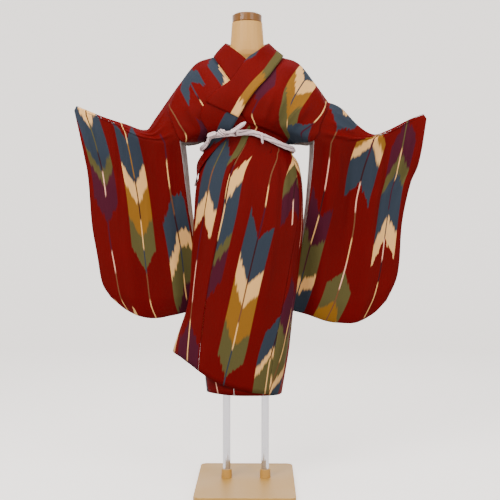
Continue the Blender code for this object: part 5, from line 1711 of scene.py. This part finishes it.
def mark_hollows_for_painted_shade(mesh):
    """Stores how far the surface curves in at each point, so that the sash's colour can paint shade into its
    grooves.
    """
    slopes = [[] for _ in mesh.vertices]
    for edge in mesh.edges:
        for start, end in (edge.vertices, reversed(edge.vertices)):
            way = mesh.vertices[end].co - mesh.vertices[start].co
            slopes[start].append(way.normalized().dot(mesh.vertices[start].normal))
    level = [sum(row) / len(row) for row in slopes]
    for _ in range(PAINTED_SHADE_BLUR):
        wide = [[value, value] for value in level]
        for edge in mesh.edges:
            start, end = edge.vertices
            wide[start].append(level[end])
            wide[end].append(level[start])
        level = [sum(row) / len(row) for row in wide]
    mesh.attributes.new("hollow_for_painted_shade", "FLOAT", "POINT").data.foreach_set("value", level)


tied_cloth = tree_of(kimono.values())
sash()
for name in ("belt_band", "belt_knot", "belt_tail_left", "belt_tail_right", "belt_tuck"):
    thing = bpy.data.objects["cloth_" + name]
    mark_hollows_for_painted_shade(thing.data)
    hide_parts(name)
    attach(thing, "root")
    surface = sum(face.area for face in thing.data.polygons)
    wide = SASH_STRIP if name == "belt_band" else SASH_STRIP / 2
    cloth = surface if name == "belt_band" else surface / 2
    flat = (wide, round(cloth / wide, 3))
    print(f"{thing.name}: strip {flat[0]:.3f} by {flat[1]:.3f} m, {len(thing.data.polygons)} faces")

# %% [markdown]
# The form is a smooth moulded torso in satin beige, with a turned and lacquered wooden cap, two chromed
# tubes and a painted plate. Their shapes come from the solids, so they only get finishes here.

# %% Finishes of the form and its stand
form_look = Look("form_beige", Roughness=0.5, Specular_IOR_Level=0.35)
where = form_look.own_space()
form_look.tinted(where, 7.0, 2.0, (0.56, 0.28, 0.060), (0.63, 0.325, 0.078))
form_look.bump(form_look.noise(where, 500.0, 2.0), 0.0003, 0.4)

cap_look = Look("cap_lacquer", Roughness=0.3, Specular_IOR_Level=0.3, Coat_Weight=0.12, Coat_Roughness=0.08)
stretched = cap_look.node("ShaderNodeMapping", Vector=cap_look.own_space(), Scale=(6.0, 40.0, 90.0))
grain = cap_look.noise(stretched, 1.2, 4.0, 0.6)
cap_look.colour(cap_look.mix(grain, (0.12, 0.038, 0.001, 1), (0.22, 0.082, 0.003, 1)))

pole_look = Look("chromed_tube", Metallic=1.0, Base_Color=(0.46, 0.46, 0.49, 1))
scuffs = pole_look.noise(pole_look.own_space(), 60.0, 3.0)
pole_look.feed(pole_look.shader.inputs["Roughness"], pole_look.ease(scuffs, 0.3, 0.8, 0.08, 0.2))

base_look = Look("cream_paint", Specular_IOR_Level=0.4)
tone = base_look.tinted(base_look.own_space(), 5.0, 3.0, (0.46, 0.24, 0.042), (0.54, 0.29, 0.06))
base_look.feed(base_look.shader.inputs["Roughness"], base_look.ease(tone, 0.2, 0.8, 0.34, 0.5))

for node, look in (
    ("form_torso", form_look),
    ("form_cap", cap_look),
    ("pole_left", pole_look),
    ("pole_right", pole_look),
    ("socket_left", base_look),
    ("socket_right", base_look),
    ("base_plate", base_look),
):
    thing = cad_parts[node]
    thing.data.materials.clear()
    thing.data.materials.append(look.material)
print("finishes given to the form, cap, tubes, sockets and plate")

# %% [markdown]
# The object stands on a plain pale floor in front of a pale backdrop, in the soft even light of a small
# studio.

# %% Floor and backdrop
FLOOR_RADIUS = 4.6
COVE = 1.2
WALL_TOP = 5.0
ROUND_STEPS = 72
COVE_STEPS = 12


def backdrop():
    """A round floor that curves up into a wall all round the object."""
    profile = []
    for step in range(COVE_STEPS + 1):
        turn = math.pi / 2 * step / COVE_STEPS
        profile.append((FLOOR_RADIUS - COVE + COVE * math.sin(turn), COVE - COVE * math.cos(turn)))
    profile.append((FLOOR_RADIUS, WALL_TOP))
    points, faces = [], [tuple(range(ROUND_STEPS))]
    for reach, height in profile:
        for step in range(ROUND_STEPS):
            turn = 2 * math.pi * step / ROUND_STEPS
            points.append((reach * math.cos(turn), reach * math.sin(turn), height))
    for row in range(len(profile) - 1):
        for step in range(ROUND_STEPS):
            after = (step + 1) % ROUND_STEPS
            low, high = row * ROUND_STEPS, (row + 1) * ROUND_STEPS
            faces.append((low + step, high + step, high + after, low + after))
    mesh = bpy.data.meshes.new("floor")
    mesh.from_pydata(points, [], faces)
    mesh.shade_smooth()
    made = bpy.data.objects.new("floor", mesh)
    bpy.context.scene.collection.objects.link(made)
    return made


floor = backdrop()
floor_look = Look(
    "pale_floor",
    Roughness=0.9,
    Specular_IOR_Level=0.1,
    Base_Color=(0.84, 0.80, 0.78, 1),
    Emission_Color=(1.0, 0.93, 0.87, 1),
    Emission_Strength=1.3,
)
floor.data.materials.append(floor_look.material)
floor.visible_diffuse = False

# %% Light
SKY_COLOUR, SKY_STRENGTH = (1.0, 0.985, 0.97, 1), 0.56
LIGHTS = (
    # name, place, aims at, size, power
    ("key", (-1.6, -2.6, 2.9), (0.0, 0.0, 0.9), 1.6, 122.0),
    ("fill", (2.2, -2.8, 2.0), (0.0, 0.0, 0.8), 2.2, 62.0),
    ("top", (0.0, -0.4, 3.3), (0.0, 0.0, 0.6), 2.0, 50.0),
    ("back", (0.4, 2.0, 2.4), (0.0, 0.0, 1.0), 1.6, 22.0),
)
for name, place, aim, size, power in LIGHTS:
    lamp = bpy.data.lights.new(name, "AREA")
    lamp.size = size
    lamp.energy = power
    thing = bpy.data.objects.new(name, lamp)
    thing.location = place
    thing.visible_camera = False
    thing.rotation_euler = (Vector(aim) - Vector(place)).to_track_quat("-Z", "Y").to_euler()
    bpy.context.scene.collection.objects.link(thing)
world = bpy.data.worlds.new("studio")
world.use_nodes = True
sky = next(node for node in world.node_tree.nodes if node.type == "BACKGROUND")
sky.inputs["Color"].default_value = SKY_COLOUR
sky.inputs["Strength"].default_value = SKY_STRENGTH
bpy.context.scene.world = world
print("lights:", ", ".join(row[0] for row in LIGHTS))

# %% [markdown]
# The camera stands where the photograph was taken, about three metres in front and a little to the side.

# %% Camera
SENSOR = 36.0
FOCAL_PIXELS, PHOTO_PIXELS = 909, 500
CAMERA_PLACE = (0.053, -3.0, 0.868)
CAMERA_TILT, CAMERA_TURN = math.radians(88.2), math.radians(0.75)
camera_data = bpy.data.cameras.new("camera")
camera_data.sensor_width = SENSOR
camera_data.lens = SENSOR * FOCAL_PIXELS / PHOTO_PIXELS
camera = bpy.data.objects.new("camera", camera_data)
camera.location = CAMERA_PLACE
camera.rotation_euler = (CAMERA_TILT, 0.0, CAMERA_TURN)
bpy.context.scene.collection.objects.link(camera)
bpy.context.scene.camera = camera
